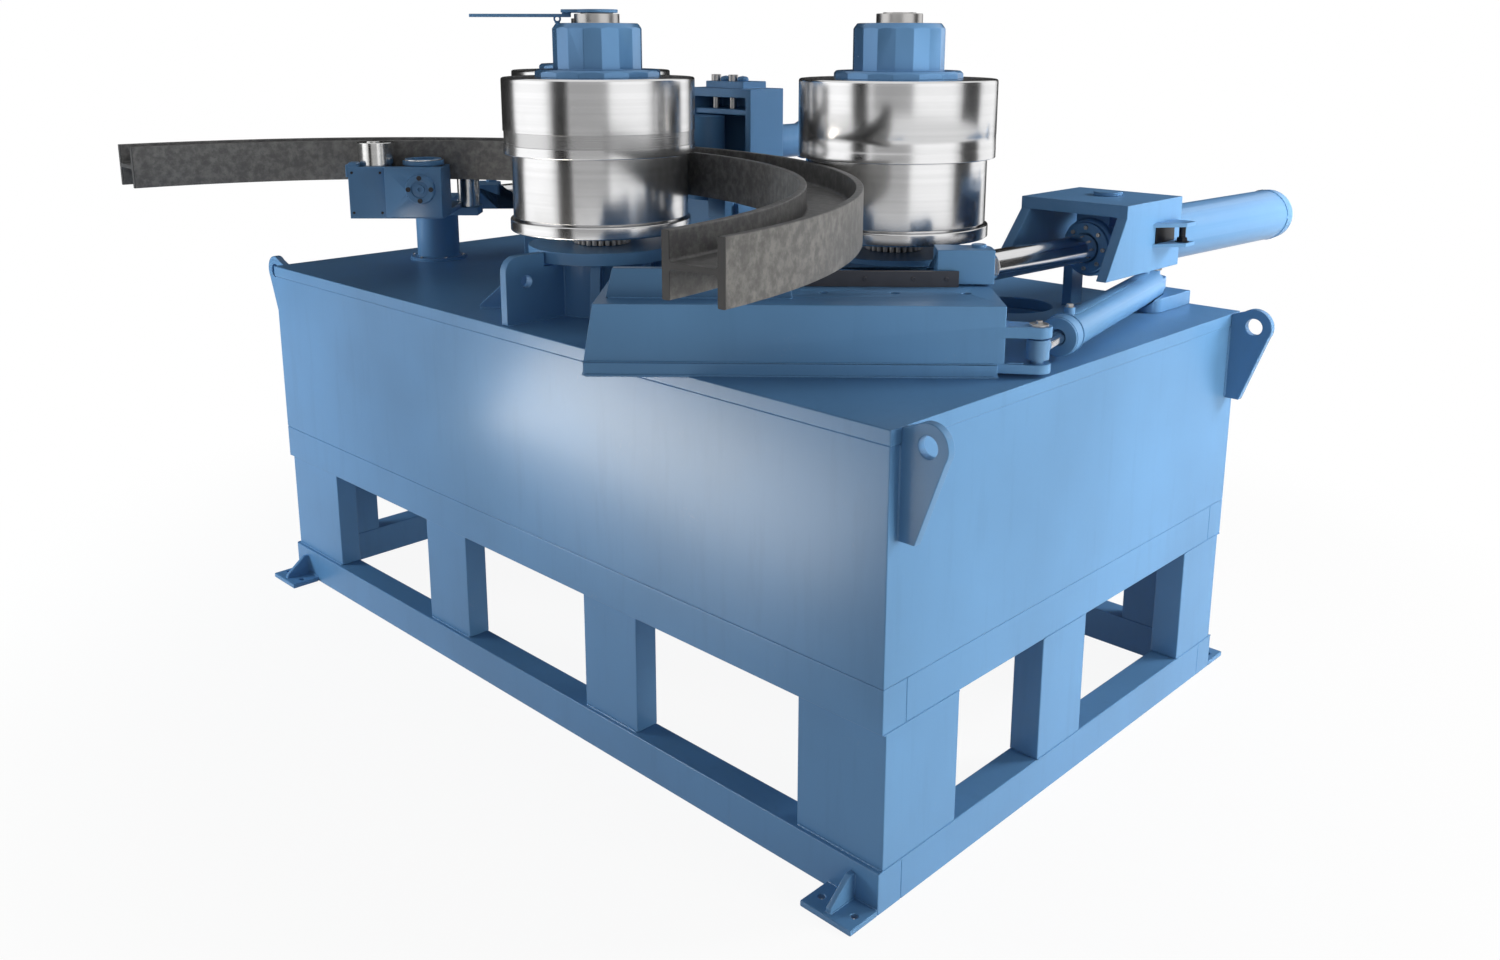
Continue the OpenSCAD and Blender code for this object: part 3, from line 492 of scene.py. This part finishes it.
def axes(along):
    """Two directions square to a direction and to each other, and the direction itself."""
    w = np.asarray(along, float) / np.linalg.norm(along)
    u = np.cross(UP, w) if abs(w[2]) < 0.9 else np.array([1.0, 0, 0])
    u /= np.linalg.norm(u)
    return u, np.cross(w, u), w


def circle(at, radius, u, v, steps=65):
    """Points round a centre in the plane of u and v: centre + radius * (cos t u + sin t v),
    with the last point on the first."""
    t = np.linspace(0, TURN, steps)[:, None]
    return np.asarray(at, float) + radius * (np.cos(t) * u + np.sin(t) * v)


def revolve(profile, at, along, steps, closed=True):
    """A profile of (radius, height) pairs carried round an axis through a point."""
    profile = np.asarray(profile, float)
    u, v, w = axes(along)
    t = np.linspace(0, TURN, steps, endpoint=False)
    ring = np.cos(t)[:, None] * u + np.sin(t)[:, None] * v
    rows = (np.asarray(at, float) + profile[:, None, :1] * ring[None]
            + profile[:, None, 1:] * w)
    return grid(rows, wrap_u=closed)


def sweep(outline, path, across, up):
    """A closed outline of (across, up) pairs carried along a path, with flat ends."""
    return capped(path[:, None] + outline[None, :, :1] * across[:, None]
                  + outline[None, :, 1:] * up[:, None])


def prism(outline, low, high):
    """An outline in plan, raised from low to high."""
    o = np.asarray(outline, float)
    return capped(np.stack([np.column_stack([o, np.full(len(o), z)]) for z in (low, high)]))


def block(lo, hi, edge=0.003):
    """A box with eased upright edges and a chamfered top: three eased oblongs, at its foot,
    where the chamfer starts, and at its top."""
    (x0, y0, z0), (x1, y1, z1) = lo, hi
    rows = []
    for inset, z in ((0, z0), (0, z1 - edge), (edge, z1)):
        a, b, c, d = x0 + inset, y0 + inset, x1 - inset, y1 - inset
        o = eased([(a, b), (c, b), (c, d), (a, d)], edge, 3)
        rows.append(np.column_stack([o, np.full(len(o), z)]))
    return capped(np.array(rows))


def bead(points, r):
    """Weld bead: a tube along a polyline whose radius ripples every 9 mm and fades at its ends."""
    points = np.asarray(points, float)
    legs = np.linalg.norm(np.diff(points, axis=0), axis=1)
    reach = np.concatenate([[0], np.cumsum(legs)])
    s = np.linspace(0, reach[-1], max(6, int(reach[-1] / 0.006)))
    path = np.stack([np.interp(s, reach, points[:, k]) for k in range(3)], 1)
    way = np.gradient(path, axis=0)
    way /= np.linalg.norm(way, axis=1)[:, None] + 1e-12
    aside = np.cross(way, (0.31, 0.52, 0.79))
    aside /= np.linalg.norm(aside, axis=1)[:, None]
    over = np.cross(way, aside)
    ease = np.clip(np.minimum(s, s[-1] - s) / (2 * r), 0, 1) ** 0.5
    radius = r * ease * (1 + 0.16 * np.sin(s * TURN / 0.009) + 0.08 * np.sin(s * 41.0))
    t = np.linspace(0, TURN, 8, endpoint=False)
    return grid(path[:, None] + radius[:, None, None] * (
        np.cos(t)[None, :, None] * aside[:, None] + np.sin(t)[None, :, None] * over[:, None]))


def screw(at, along, r, tall):
    """Round-headed socket screw; its head stands up from a point, along a direction."""
    profile = [(0, 0), (r, 0), (r, tall * 0.86), (r * 0.88, tall), (r * 0.52, tall),
               (r * 0.5, tall * 0.45), (0, tall * 0.45)]
    return revolve(profile, at, along, 24, closed=False)


def hex_bolt(at, along, r):
    """Washer and chamfered hexagon head."""
    washer = revolve([(0, 0), (r * 1.25, 0), (r * 1.25, r * 0.16), (0, r * 0.16)],
                     at, along, 28, closed=False)
    head = revolve([(0, r * 0.16), (r, r * 0.16), (r, r * 0.72), (r * 0.86, r * 0.86),
                    (0, r * 0.86)], at, along, 6, closed=False)
    return join(washer, head)


def disc(at, along, r, tall, edge=0.002):
    """Flat cylinder with an eased rim."""
    profile = eased([(0, 0), (r, 0), (r, tall), (0, tall)], [0, 0, edge, 0], 3, closed=False)
    return revolve(profile, at, along, 48, closed=False)


def collar(inner, outer, tall, ease, at, along, steps):
    """Flat ring with an oblong section, its four corners eased."""
    section = eased([(inner, 0), (outer, 0), (outer, tall), (inner, tall)], ease, 3)
    return revolve(section, at, along, steps)


def ring_of(count, at, along, radius, make):
    """Copies of a part on a circle round an axis; make gets each place."""
    u, v, _ = axes(along)
    return join(*(make(place) for place in circle(at, radius, u, v, count + 1)[:-1]))


# ---------------------------------------------------------------- camera, floor, lights

def aim(obj, target):
    """Turns a lamp's front to a point, with its upper edge level."""
    x, y, z = np.asarray(target, float) - np.asarray(obj.location)
    pitch = math.atan2(z, math.hypot(x, y))
    obj.rotation_euler = (math.pi / 2 + pitch, 0, math.atan2(-x, y))


cam = bpy.data.objects.new("view", bpy.data.cameras.new("view"))
bpy.context.scene.collection.objects.link(cam)
bpy.context.scene.camera = cam
cam.data.sensor_width = 36
cam.data.lens = 30.60384
cam.data.shift_y = -0.1
cam.location = (3.8250, -3.6949, 2.5246)
cam.rotation_euler = (math.radians(77.135), math.radians(-0.086), math.radians(44.4))
cam.data.clip_end = 200

FLOOR = 60
floor_mesh = bpy.data.meshes.new("studio_floor")
floor_mesh.from_pydata([(-FLOOR, -FLOOR, 0), (FLOOR, -FLOOR, 0), (FLOOR, FLOOR, 0),
                        (-FLOOR, FLOOR, 0)], [], [(0, 1, 2, 3)])
floor = bpy.data.objects.new("studio_floor", floor_mesh)
bpy.context.scene.collection.objects.link(floor)
pale = Shade("pale_floor")
pale.set(Base_Color=(0.88, 0.88, 0.88), Roughness=0.9, Specular_IOR_Level=0.0)
away, _ = pale.from_axis((0, 0))
white = pale.backdrop_rays() * (away.between(2.0, 4.2) * 0.08 + 0.92)
pale.surface(pale.add("ShaderNodeMixShader", {},
                      [white, Sock(pale, pale.bsdf.outputs[0]), pale.emit((1, 1, 1))]))
floor_mesh.materials.append(pale.mat)

world = bpy.data.worlds.new("studio")
bpy.context.scene.world = world
world.use_nodes = True
sky = WorldShade(world)
backdrop = world.node_tree.nodes["Background"]
rise = sky.split()[2]
ambient = 0.68 - rise.between(0.0, 0.7) * 0.50
shown = sky.backdrop_rays()
sky.plug(backdrop.inputs["Strength"], shown + (1.0 - shown) * ambient)
sky.plug(backdrop.inputs["Color"], (1, 1, 1))


def softbox(name, at, target, size, power, tone, mirrored=False):
    """Area light of a width and height that feeds diffuse light, or mirrored light alone."""
    light = bpy.data.lights.new(name, "AREA")
    light.shape, (light.size, light.size_y) = "RECTANGLE", size
    light.energy, light.color = power, tone
    obj = bpy.data.objects.new(name, light)
    bpy.context.scene.collection.objects.link(obj)
    obj.location = at
    aim(obj, target)
    obj.visible_diffuse, obj.visible_glossy, obj.visible_camera = not mirrored, mirrored, False
    return obj


def card(name, start, end, level, high=5.5, distance=9.0):
    """A grey or bright card on an arc round the machine, between two azimuths in degrees, which
    only mirror-like surfaces show: these give turned steel its bands."""
    middle = (0.4, -0.2)
    a = np.radians(np.linspace(start, end, 9))
    rows = np.stack([np.stack([middle[0] + distance * np.cos(a), middle[1] + distance * np.sin(a),
                               0 * a + z], 1) for z in (0.0, high)])
    verts, faces = grid(rows, wrap_v=False)
    mesh = bpy.data.meshes.new(name)
    mesh.from_pydata(verts.tolist(), [], faces)
    obj = bpy.data.objects.new(name, mesh)
    bpy.context.scene.collection.objects.link(obj)
    shade = Shade(name)
    shade.surface(shade.emit((level, level, level)))
    mesh.materials.append(shade.mat)
    obj.visible_camera = obj.visible_diffuse = obj.visible_shadow = False
    obj.visible_transmission = False


card("bright_left", -152, -103, 1.5)
card("dark_front", -98, -79, 0.0, high=4.0, distance=5.2)
card("mid_front", -75, -32, 0.52)
card("bright_right", -30, 18, 1.35)
card("mid_right", 25, 52, 0.05)
card("bright_far", 54, 88, 1.3)
card("dark_back", 96, 206, 0.02, high=9.0)
softbox("box_left", (-3.9, -3.6, 1.5), (-0.9, -1.0, 1.1), (1.6, 1.6), 115, (0.88, 0.98, 1.0))
softbox("box_right", (7.6, 1.0, 1.3), (1.2, 0.0, 1.2), (2.6, 2.2), 338, (1.0, 0.95, 0.85))
rear = softbox("box_rear", (4.0, 3.4, 3.4), (1.45, 1.3, 1.75), (1.6, 1.2), 45, (1, 1, 1))
rear.data.spread = math.radians(80)
# a low strip, rolled about its own beam, puts a slanting sheen on the front enamel
sheen = softbox("sheen_low", (-0.20, -2.20, 0.68), (1.00, -1.08, 1.25), (1.7, 0.5), 42,
                (1.0, 0.92, 0.80), mirrored=True)
rolled = Matrix.Rotation(math.radians(-28), 3, "Z")
sheen.rotation_euler = (sheen.rotation_euler.to_matrix() @ rolled).to_euler()

bpy.context.scene.view_settings.view_transform = "Standard"


# ---------------------------------------------------------------- stand and plate work

for node in ("long_rails", "end_rails", "corner_posts", "long_posts", "end_posts",
             "long_headers", "end_headers", "anchor_feet"):
    dressed(node, "stand_paint", 0.004)
for node in ("housing", "table_plate"):
    dressed(node, "machine_paint", 0.004)
for node in ("lifting_lugs", "central_base", "slide_bed", "slide_base_2",
             "slide_base_3", "carriage_2", "carriage_3", "yoke_2", "yoke_3", "swing_anchor",
             "rear_tower"):
    dressed(node, "machine_paint")
dressed("guide_head", "machine_paint", 0.002, merge=False)
# the slide block takes the darker enamel, which is painted shade
dressed("slide_block", "block_shade_paint")
for k in (1, 2, 3):
    dressed(f"roll_{k}_hub", "hub_paint", 0.0025, angle=14)
for node in ("lock_lever", "barrel_2", "barrel_3", "swing_barrel", "guide_column", "rear_roller",
             "rear_cylinder"):
    dressed(node, "machine_paint", 0.002)
for node in ("rod_2", "rod_3"):
    dressed(node, "chromed_rod", 0.0015)
dressed("swing_rod", "swing_rod", 0.0015)
for node in ("guide_roller_inner", "guide_roller_outer"):
    dressed(node, "guide_steel")
dressed("rear_screws", "spindle_steel", 0.001)
dressed("slide_strip", "way_steel", 0.001)


# ---------------------------------------------------------------- rolls

def roll(k):
    """Die and bottom ring: two eased profiles of radius and height, turned round the roll's
    axis. A narrow seam parts the drum from its collar, whose worn band is deepest on roll 1."""
    x, y = ROLL_AT[k]
    worn = 0.003 if k == 1 else 0.0005
    seam = 0.005
    die = eased([
        (SHAFT_R, DRUM_Z), (DRUM_R, DRUM_Z), (DRUM_R, COLLAR_Z - seam),
        (DRUM_R - seam, COLLAR_Z - seam), (DRUM_R - seam, COLLAR_Z), (COLLAR_R, COLLAR_Z),
        (COLLAR_R, WORN_LOW), (COLLAR_R - worn, WORN_LOW + 0.001),
        (COLLAR_R - worn, WORN_HIGH - 0.001), (COLLAR_R, WORN_HIGH),
        (COLLAR_R, DIE_TOP), (SHAFT_R, DIE_TOP)],
        [0, 0.003, 0, 0, 0, 0.003, 0, 0, 0, 0, 0.010, 0], 5)
    neck, lip = DRUM_R - 0.022, RING_Z + 0.046
    ring = eased([(SHAFT_R, RING_Z), (RING_R, RING_Z), (RING_R, lip), (neck, lip),
                  (neck, DRUM_Z), (SHAFT_R, DRUM_Z)], [0, 0.006, 0.006, 0, 0, 0], 5)
    for name, profile, node in (("tool", die, "die"), ("collar", ring, "ring")):
        piece(f"roll_{k}_{name}", *revolve(profile, (x, y, 0), UP, 256), f"roll_{k}",
              f"roll_{k}", stands_for=(f"roll_{k}_{node}",))


def shaft(k):
    """Shaft with its nut, and the neck: a cylinder whose radius dips in 26 round flutes,
    radius = r - dip * (1 - |cos 13 t| ^ 0.6)."""
    x, y = ROLL_AT[k]
    foot, sole = TABLE + 0.211, TABLE + 0.2575
    nut_r, boss_r, bore_r = 0.084, 0.060, 0.046
    rim, end = NUT_TOP + 0.034, NUT_TOP + 0.038
    body = eased([
        (0, foot), (0.088, foot), (0.088, sole), (0.096, sole), (0.096, RING_Z),
        (SHAFT_R, RING_Z), (SHAFT_R, NUT_TOP), (nut_r, NUT_TOP), (nut_r, rim),
        (boss_r, rim), (boss_r, end), (bore_r, end), (bore_r - 0.002, end - 0.006),
        (0, end - 0.006)], 0.0025, 3, closed=False)
    flutes, dip, neck_r, ease, gap = 26, 0.012, 0.110, 0.002, 0.0004
    t = np.linspace(0, TURN, flutes * 12, endpoint=False)
    hollow = dip * (1 - np.abs(np.cos(flutes / 2 * t)) ** 0.6)
    rows = []
    for r, z, depth in ((SHAFT_R, sole, 0), (neck_r - ease, sole, hollow),
                        (neck_r, sole + ease, hollow), (neck_r, RING_Z - ease, hollow),
                        (neck_r - ease, RING_Z - gap, hollow), (SHAFT_R, RING_Z - gap, 0)):
        rows.append(np.stack([x + (r - depth) * np.cos(t), y + (r - depth) * np.sin(t),
                              0 * t + z], 1))
    piece(f"roll_{k}_shaft", *join(revolve(body, (x, y, 0), UP, 96, closed=False),
                                   grid(np.array(rows), wrap_u=True)),
          "spindle_steel", f"roll_{k}", 28, (f"roll_{k}_spindle",))


for k in (1, 2, 3):
    roll(k)
    shaft(k)


# ---------------------------------------------------------------- bent beam

def beam():
    """The H outline, with root fillets, carried round the bend's arc."""
    mid, inner = FLANGE_W / 2 - WEB_T / 2, DEPTH - FLANGE_T
    tip, root = 0.004, 0.012
    half = [(0, 0), (FLANGE_T, 0), (FLANGE_T, mid), (inner, mid), (inner, 0), (DEPTH, 0)]
    outline = eased(half + [(a, FLANGE_W - b) for a, b in half[::-1]],
                    [tip, tip, root, root, tip, tip] * 2)
    a = np.linspace(BEAM_END, math.pi - BEAM_END, 200)
    out = np.stack([np.cos(a), np.sin(a), 0 * a], 1)
    path = BEND_R * out + (0, BEND_Y, BEAM_Z)
    up = np.tile(np.array(UP, float), (len(a), 1))
    piece("bent_beam", *sweep(outline, path, out, up), "beam_scale", "stand", 50, ("h_beam",))


beam()


# ---------------------------------------------------------------- welds

def posts_along(start, posts, windows):
    """Both ends of each post on a side, from the widths of its posts and windows in turn."""
    spans = []
    for post, window in zip(posts, windows + (0,)):
        spans.append((start, start + post))
        start += post + window
    return spans


def stand_welds():
    """Beads at the posts' ends, beside the lifting lugs, and round the anchor feet."""
    long_side = posts_along(-HALF_L, (0.412, 0.288, 0.288, 0.341), (0.757, 0.757, 0.757))
    end_side = posts_along(-HALF_W, (0.378, 0.273, 0.304), (0.476, 0.737))
    lug_y, lug_low, lug_high = HALF_W - 0.059, TABLE - 0.330, TABLE - 0.050
    foot_w, reach, sole, rib_top = 0.196, 0.108, 0.020, 0.103
    parts = []
    for s in (-1, 1):
        end, rib = s * HALF_L, s * (HALF_L - foot_w / 2)
        for z in (RAIL_TOP, HEADER_LOW):
            parts += [bead([(a, s * POST_FACE, z), (b, s * POST_FACE, z)], 0.0055)
                      for a, b in long_side]
            parts += [bead([(end, a, z), (end, b, z)], 0.003) for a, b in end_side]
        for t in (-1, 1):
            side = t * HALF_W
            for y in (lug_y + 0.015, lug_y - 0.015):
                parts.append(bead([(end, t * y, lug_low), (end, t * y, lug_high)], 0.005))
            for x in (rib - 0.010, rib + 0.010):
                parts.append(bead([(x, side, sole), (x, side + t * reach, sole)], 0.0035))
                parts.append(bead([(x, side, sole + 0.002), (x, side, rib_top)], 0.0035))
            parts.append(bead([(end - s * foot_w, side, sole), (end, side, sole)], 0.004))
    piece("stand_welds", *join(*parts), "stand_paint", "stand", 60)


def base_welds():
    """Beads round the central base's drum, and along both sides of its eight gussets."""
    axis = (*ROLL_AT[1], TABLE)
    drum_r, top, half_t = 0.200, 0.205, 0.0185
    reach = {0: 0.300, 270: 0.465, 315: 0.330}
    parts = []
    for turn in range(0, 360, 45):
        for side in (-half_t, half_t):
            line = [(drum_r - 0.001, side, top), (drum_r - 0.001, side, 0),
                    (reach.get(turn, 0.480), side, 0)]
            parts.append(bead(turned(line, axis, turn), 0.006))
    return parts + [bead(circle(axis, drum_r, RIGHT, BACK), 0.006)]


def bed_welds():
    """Beads round the bed's foot, along its front plate's foot and its block, and at the
    clevis."""
    left, front, right = -1.034, -0.865, 0.255
    plate, block_y, top, clevis = front + 0.012, -0.758, 0.225, 0.277
    lines = [([(left, front, 0), (right, front, 0)], 0.005),
             ([(left, front, 0), (left, -0.413, 0)], 0.005),
             ([(right, front, 0), (right, -0.60, 0)], 0.005),
             ([(left + 0.009, plate, 0.040), (right, plate, 0.040)], 0.004),
             ([(-0.965, block_y, top), (-0.382, block_y, top)], 0.004),
             ([(clevis, -0.848, 0.042), (0.340, -0.846, 0.042)], 0.004),
             ([(clevis, -0.850, 0.125), (clevis, -0.800, 0.125)], 0.004)]
    return [placed(bead(line, r), BED_AT, BED_TURN) for line, r in lines]


def table_welds():
    """Beads where the base, bed, guide column, yokes and tower meet the table."""
    parts = base_welds() + bed_welds()
    column = turned([COLUMN], GUIDE_AT, GUIDE_TURN)[0]
    for r, z in ((0.130, 0.0), (0.099, 0.014)):
        parts.append(bead(circle(column + (0, 0, z), r, RIGHT, BACK), 0.004))
    legs = [bead([(x, 0.080, 0), (x, 0.165, 0)], 0.005) for x in (-0.215, -0.175)]
    roof = [bead([(x, -0.240, 0.415), (x, 0.160, 0.415)], 0.004) for x in (-0.175, 0.175)]
    for mirror in (False, True):
        parts += [placed(line, PIN_AT, 0, mirror) for line in legs + roof]
    lo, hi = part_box("rear_tower")
    front = 0.030
    parts.append(bead([(lo.x, front, TABLE), (lo.x, hi.y, TABLE), (hi.x, hi.y, TABLE),
                       (hi.x, front, TABLE)], 0.005))
    piece("table_welds", *join(*parts), "machine_paint", "stand", 60)


# ---------------------------------------------------------------- small fittings

def bed_fittings():
    """Screws in the bed's holes and dark strip, and the cap over the clevis pin."""
    dark = [screw((0.181 - 0.230 * k, -0.650, 0.186), UP, 0.0125, 0.022) for k in range(3)]
    dark += [screw((x, -0.5472, 0.252), FRONT, 0.007, 0.005) for x in (-0.30, -0.14, 0.02, 0.13)]
    x, y, _ = CLEVIS
    cap = [disc((x, y, 0.160), UP, 0.031, 0.006), hex_bolt((x, y, 0.166), UP, 0.011)]
    fitting("bed_screws", dark, "way_steel", "stand", BED_AT, BED_TURN)
    fitting("clevis_cap", cap, "bolt", "stand", BED_AT, BED_TURN)


def yoke_fittings(k):
    """Side bracket: two pointed ears, one over the other, with a bolt between; a thin dark plate
    behind the bolt is painted shade in the recess, and the bolt is black partly as its own finish
    and partly as painted shade.
    """
    mirror = k == 3
    leg, tip, point, back = 0.2148, 0.292, 0.056, 0.126
    low, mid, high, plate = 0.292, 0.304, 0.364, 0.014
    bolt_x, bolt_y = 0.262, 0.085
    ear = [(leg, -0.050), (tip, point), (tip, back), (leg, back)]
    ears = [prism(ear, high, high + plate), prism(ear, low, mid)]
    shank = [(0, 0), (0.012, 0), (0.012, 0.050), (0, 0.050)]
    # thin dark plate standing in for the shade inside the recess: painted shade; the bolt is kept
    # dark for its shade too
    dark = [block((leg, -0.030, mid + 0.0005), (leg + 0.0052, 0.110, high - 0.0005), 0.002),
            hex_bolt((bolt_x, bolt_y, mid), UP, 0.020),
            revolve(shank, (bolt_x, bolt_y, mid + 0.011), UP, 20, closed=False)]
    fitting(f"yoke_{k}_bracket", ears, "machine_paint", "stand", PIN_AT, 0, mirror)
    fitting(f"yoke_{k}_shade_plate_and_bolt", dark, "black_screw", "stand", PIN_AT, 0, mirror)


def barrel_fittings(k):
    """Gland ring with its screws, oil port with its plug, and the welds at both ends."""
    body, mirror = f"barrel_{k}", k == 3
    front, tail, seam_r = -0.116, 1.322, 0.107
    gland, port_y, port_z = front - 0.012, 0.290, CYL_Z + 0.104
    paint = [collar(0.056, 0.094, 0.0125, [0.002, 0.003, 0, 0], (0, gland, CYL_Z), BACK, 72)]
    for y in (tail - 0.075, front + 0.045):
        paint.append(bead(circle((0, y, CYL_Z), seam_r, RIGHT, UP, 49), 0.003))
    paint.append(disc((0, port_y, port_z), UP, 0.024, 0.022))
    steel = [ring_of(8, (0, gland, CYL_Z), FRONT, 0.076, lambda q: screw(q, FRONT, 0.008, 0.007)),
             hex_bolt((0, port_y, port_z + 0.022), UP, 0.014)]
    fitting(f"{body}_ports", paint, "machine_paint", body, PIN_AT, CYL_TURN, mirror)
    fitting(f"{body}_shade_plate_and_bolt", steel, "bolt", body, PIN_AT, CYL_TURN, mirror)


def swing_fittings():
    """Gland, oil plugs and pin cap of the swing cylinder, drawn along x from the clevis."""
    x, y, _ = np.subtract(SWING_TO, SWING_FROM)
    length, turn = math.hypot(x, y), math.degrees(math.atan2(y, x))
    axis, tail = 0.086, length - 0.150
    gland = [collar(0.027, 0.064, 0.010, 0.002, (0.1805, 0, axis), RIGHT, 48)]
    steel = [hex_bolt((0.290, 0, axis + 0.0822), UP, 0.012),
             hex_bolt((tail, 0, axis + 0.072), UP, 0.012),
             disc((length, 0, 0.1362), UP, 0.026, 0.006), hex_bolt((length, 0, 0.142), UP, 0.010)]
    port = [disc((tail, 0, axis + 0.054), UP, 0.017, 0.018),
            bead(circle((0.248, 0, axis), 0.0665, BACK, UP, 33), 0.003)]
    for name, parts, finish in (("swing_gland", gland, "machine_paint"),
                                ("swing_shade_plate_and_bolt", steel, "bolt"),
                                ("swing_port", port, "machine_paint")):
        fitting(name, parts, finish, "stand", SWING_FROM, turn)


def guide_fittings():
    """Cover ring with screws, wall screws, corner ear, bright cap rim and base screws."""
    wall = -0.1845
    cover, mouth = (0.090, wall - 0.024, 0.402), (0.083, -0.093, 0.517)
    boss = [(0, 0), (0.020, 0), (0.020, 0.010), (0.008, 0.010), (0.007, 0.003), (0, 0.003)]
    paint = [collar(0.036, 0.060, 0.006, 0.0015, cover, FRONT, 64),
             revolve(boss, cover, FRONT, 40, closed=False),
             collar(0.050, 0.076, 0.006, 0.0015, mouth, UP, 96),
             block((-0.217, -0.1854, 0.495), (-0.176, -0.130, 0.513), 0.006),
             block((-0.226, -0.1852, 0.452), (-0.214, -0.150, 0.505), 0.004)]
    dark = [ring_of(4, cover, FRONT, 0.048,
                    lambda q: screw(q + (0, -0.006, 0), FRONT, 0.010, 0.006))]
    dark += [screw((x, wall, z), FRONT, 0.0055, 0.004)
             for x in (-0.200, -0.080) for z in (0.300, 0.470)]
    steel = [collar(0.076, 0.084, 0.004, 0.001, mouth, UP, 96),
             ring_of(6, np.add(COLUMN, (0, 0, 0.014)), UP, 0.115,
                     lambda q: hex_bolt(q, UP, 0.008))]
    cap = [disc((-0.128, -0.0873, 0.592), UP, 0.030, 0.004)]
    for name, parts, finish, body in (
            ("guide_cover", paint, "machine_paint", "stand"),
            ("guide_screws", dark, "black_screw", "stand"),
            ("guide_bright", steel, "guide_steel", "stand"),
            ("guide_roller_cap", cap, "guide_steel", "guide_roller_inner")):
        fitting(name, parts, finish, body, GUIDE_AT, GUIDE_TURN)


def tower_fittings():
    """Knobs on the tower's crown, and the screws of its cylinder's flange."""
    knob = eased([(0, 0), (0.021, 0), (0.025, 0.008), (0.019, 0.019), (0, 0.023)],
                 [0, 0.002, 0.004, 0.004, 0], closed=False)
    knobs = [revolve(knob, (x, 0.100, highest("rear_tower").z - 0.001), UP, 40, closed=False)
             for x in (-0.030, 0.068)]
    lo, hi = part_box("rear_cylinder")
    flange = ((lo.x + hi.x) / 2, lo.y + 0.024, (lo.z + hi.z) / 2)
    screws = [ring_of(8, flange, BACK, 0.080, lambda q: hex_bolt(q, BACK, 0.007))]
    fitting("tower_knobs", knobs, "machine_paint")
    fitting("tower_screws", screws, "bolt")


def lever_eye():
    """Eyebolt beside the central roll's nut: a ring of round bar on a shank."""
    at = turned([(-0.148, 0, 0)], (*ROLL_AT[1], NUT_TOP), BED_TURN)[0]
    bar = [(0.011 + x, z) for x, _, z in circle((0, 0, 0), 0.0035, RIGHT, UP, 25)[:-1]]
    eye = revolve(bar, at + (0, 0, 0.016), (0.7, -0.7, 0), 32)
    fitting("lever_eyebolt", [eye, disc(at, UP, 0.010, 0.005)], "machine_paint", "roll_1")


stand_welds()
table_welds()
bed_fittings()
swing_fittings()
guide_fittings()
tower_fittings()
lever_eye()
for k in (2, 3):
    yoke_fittings(k)
    barrel_fittings(k)
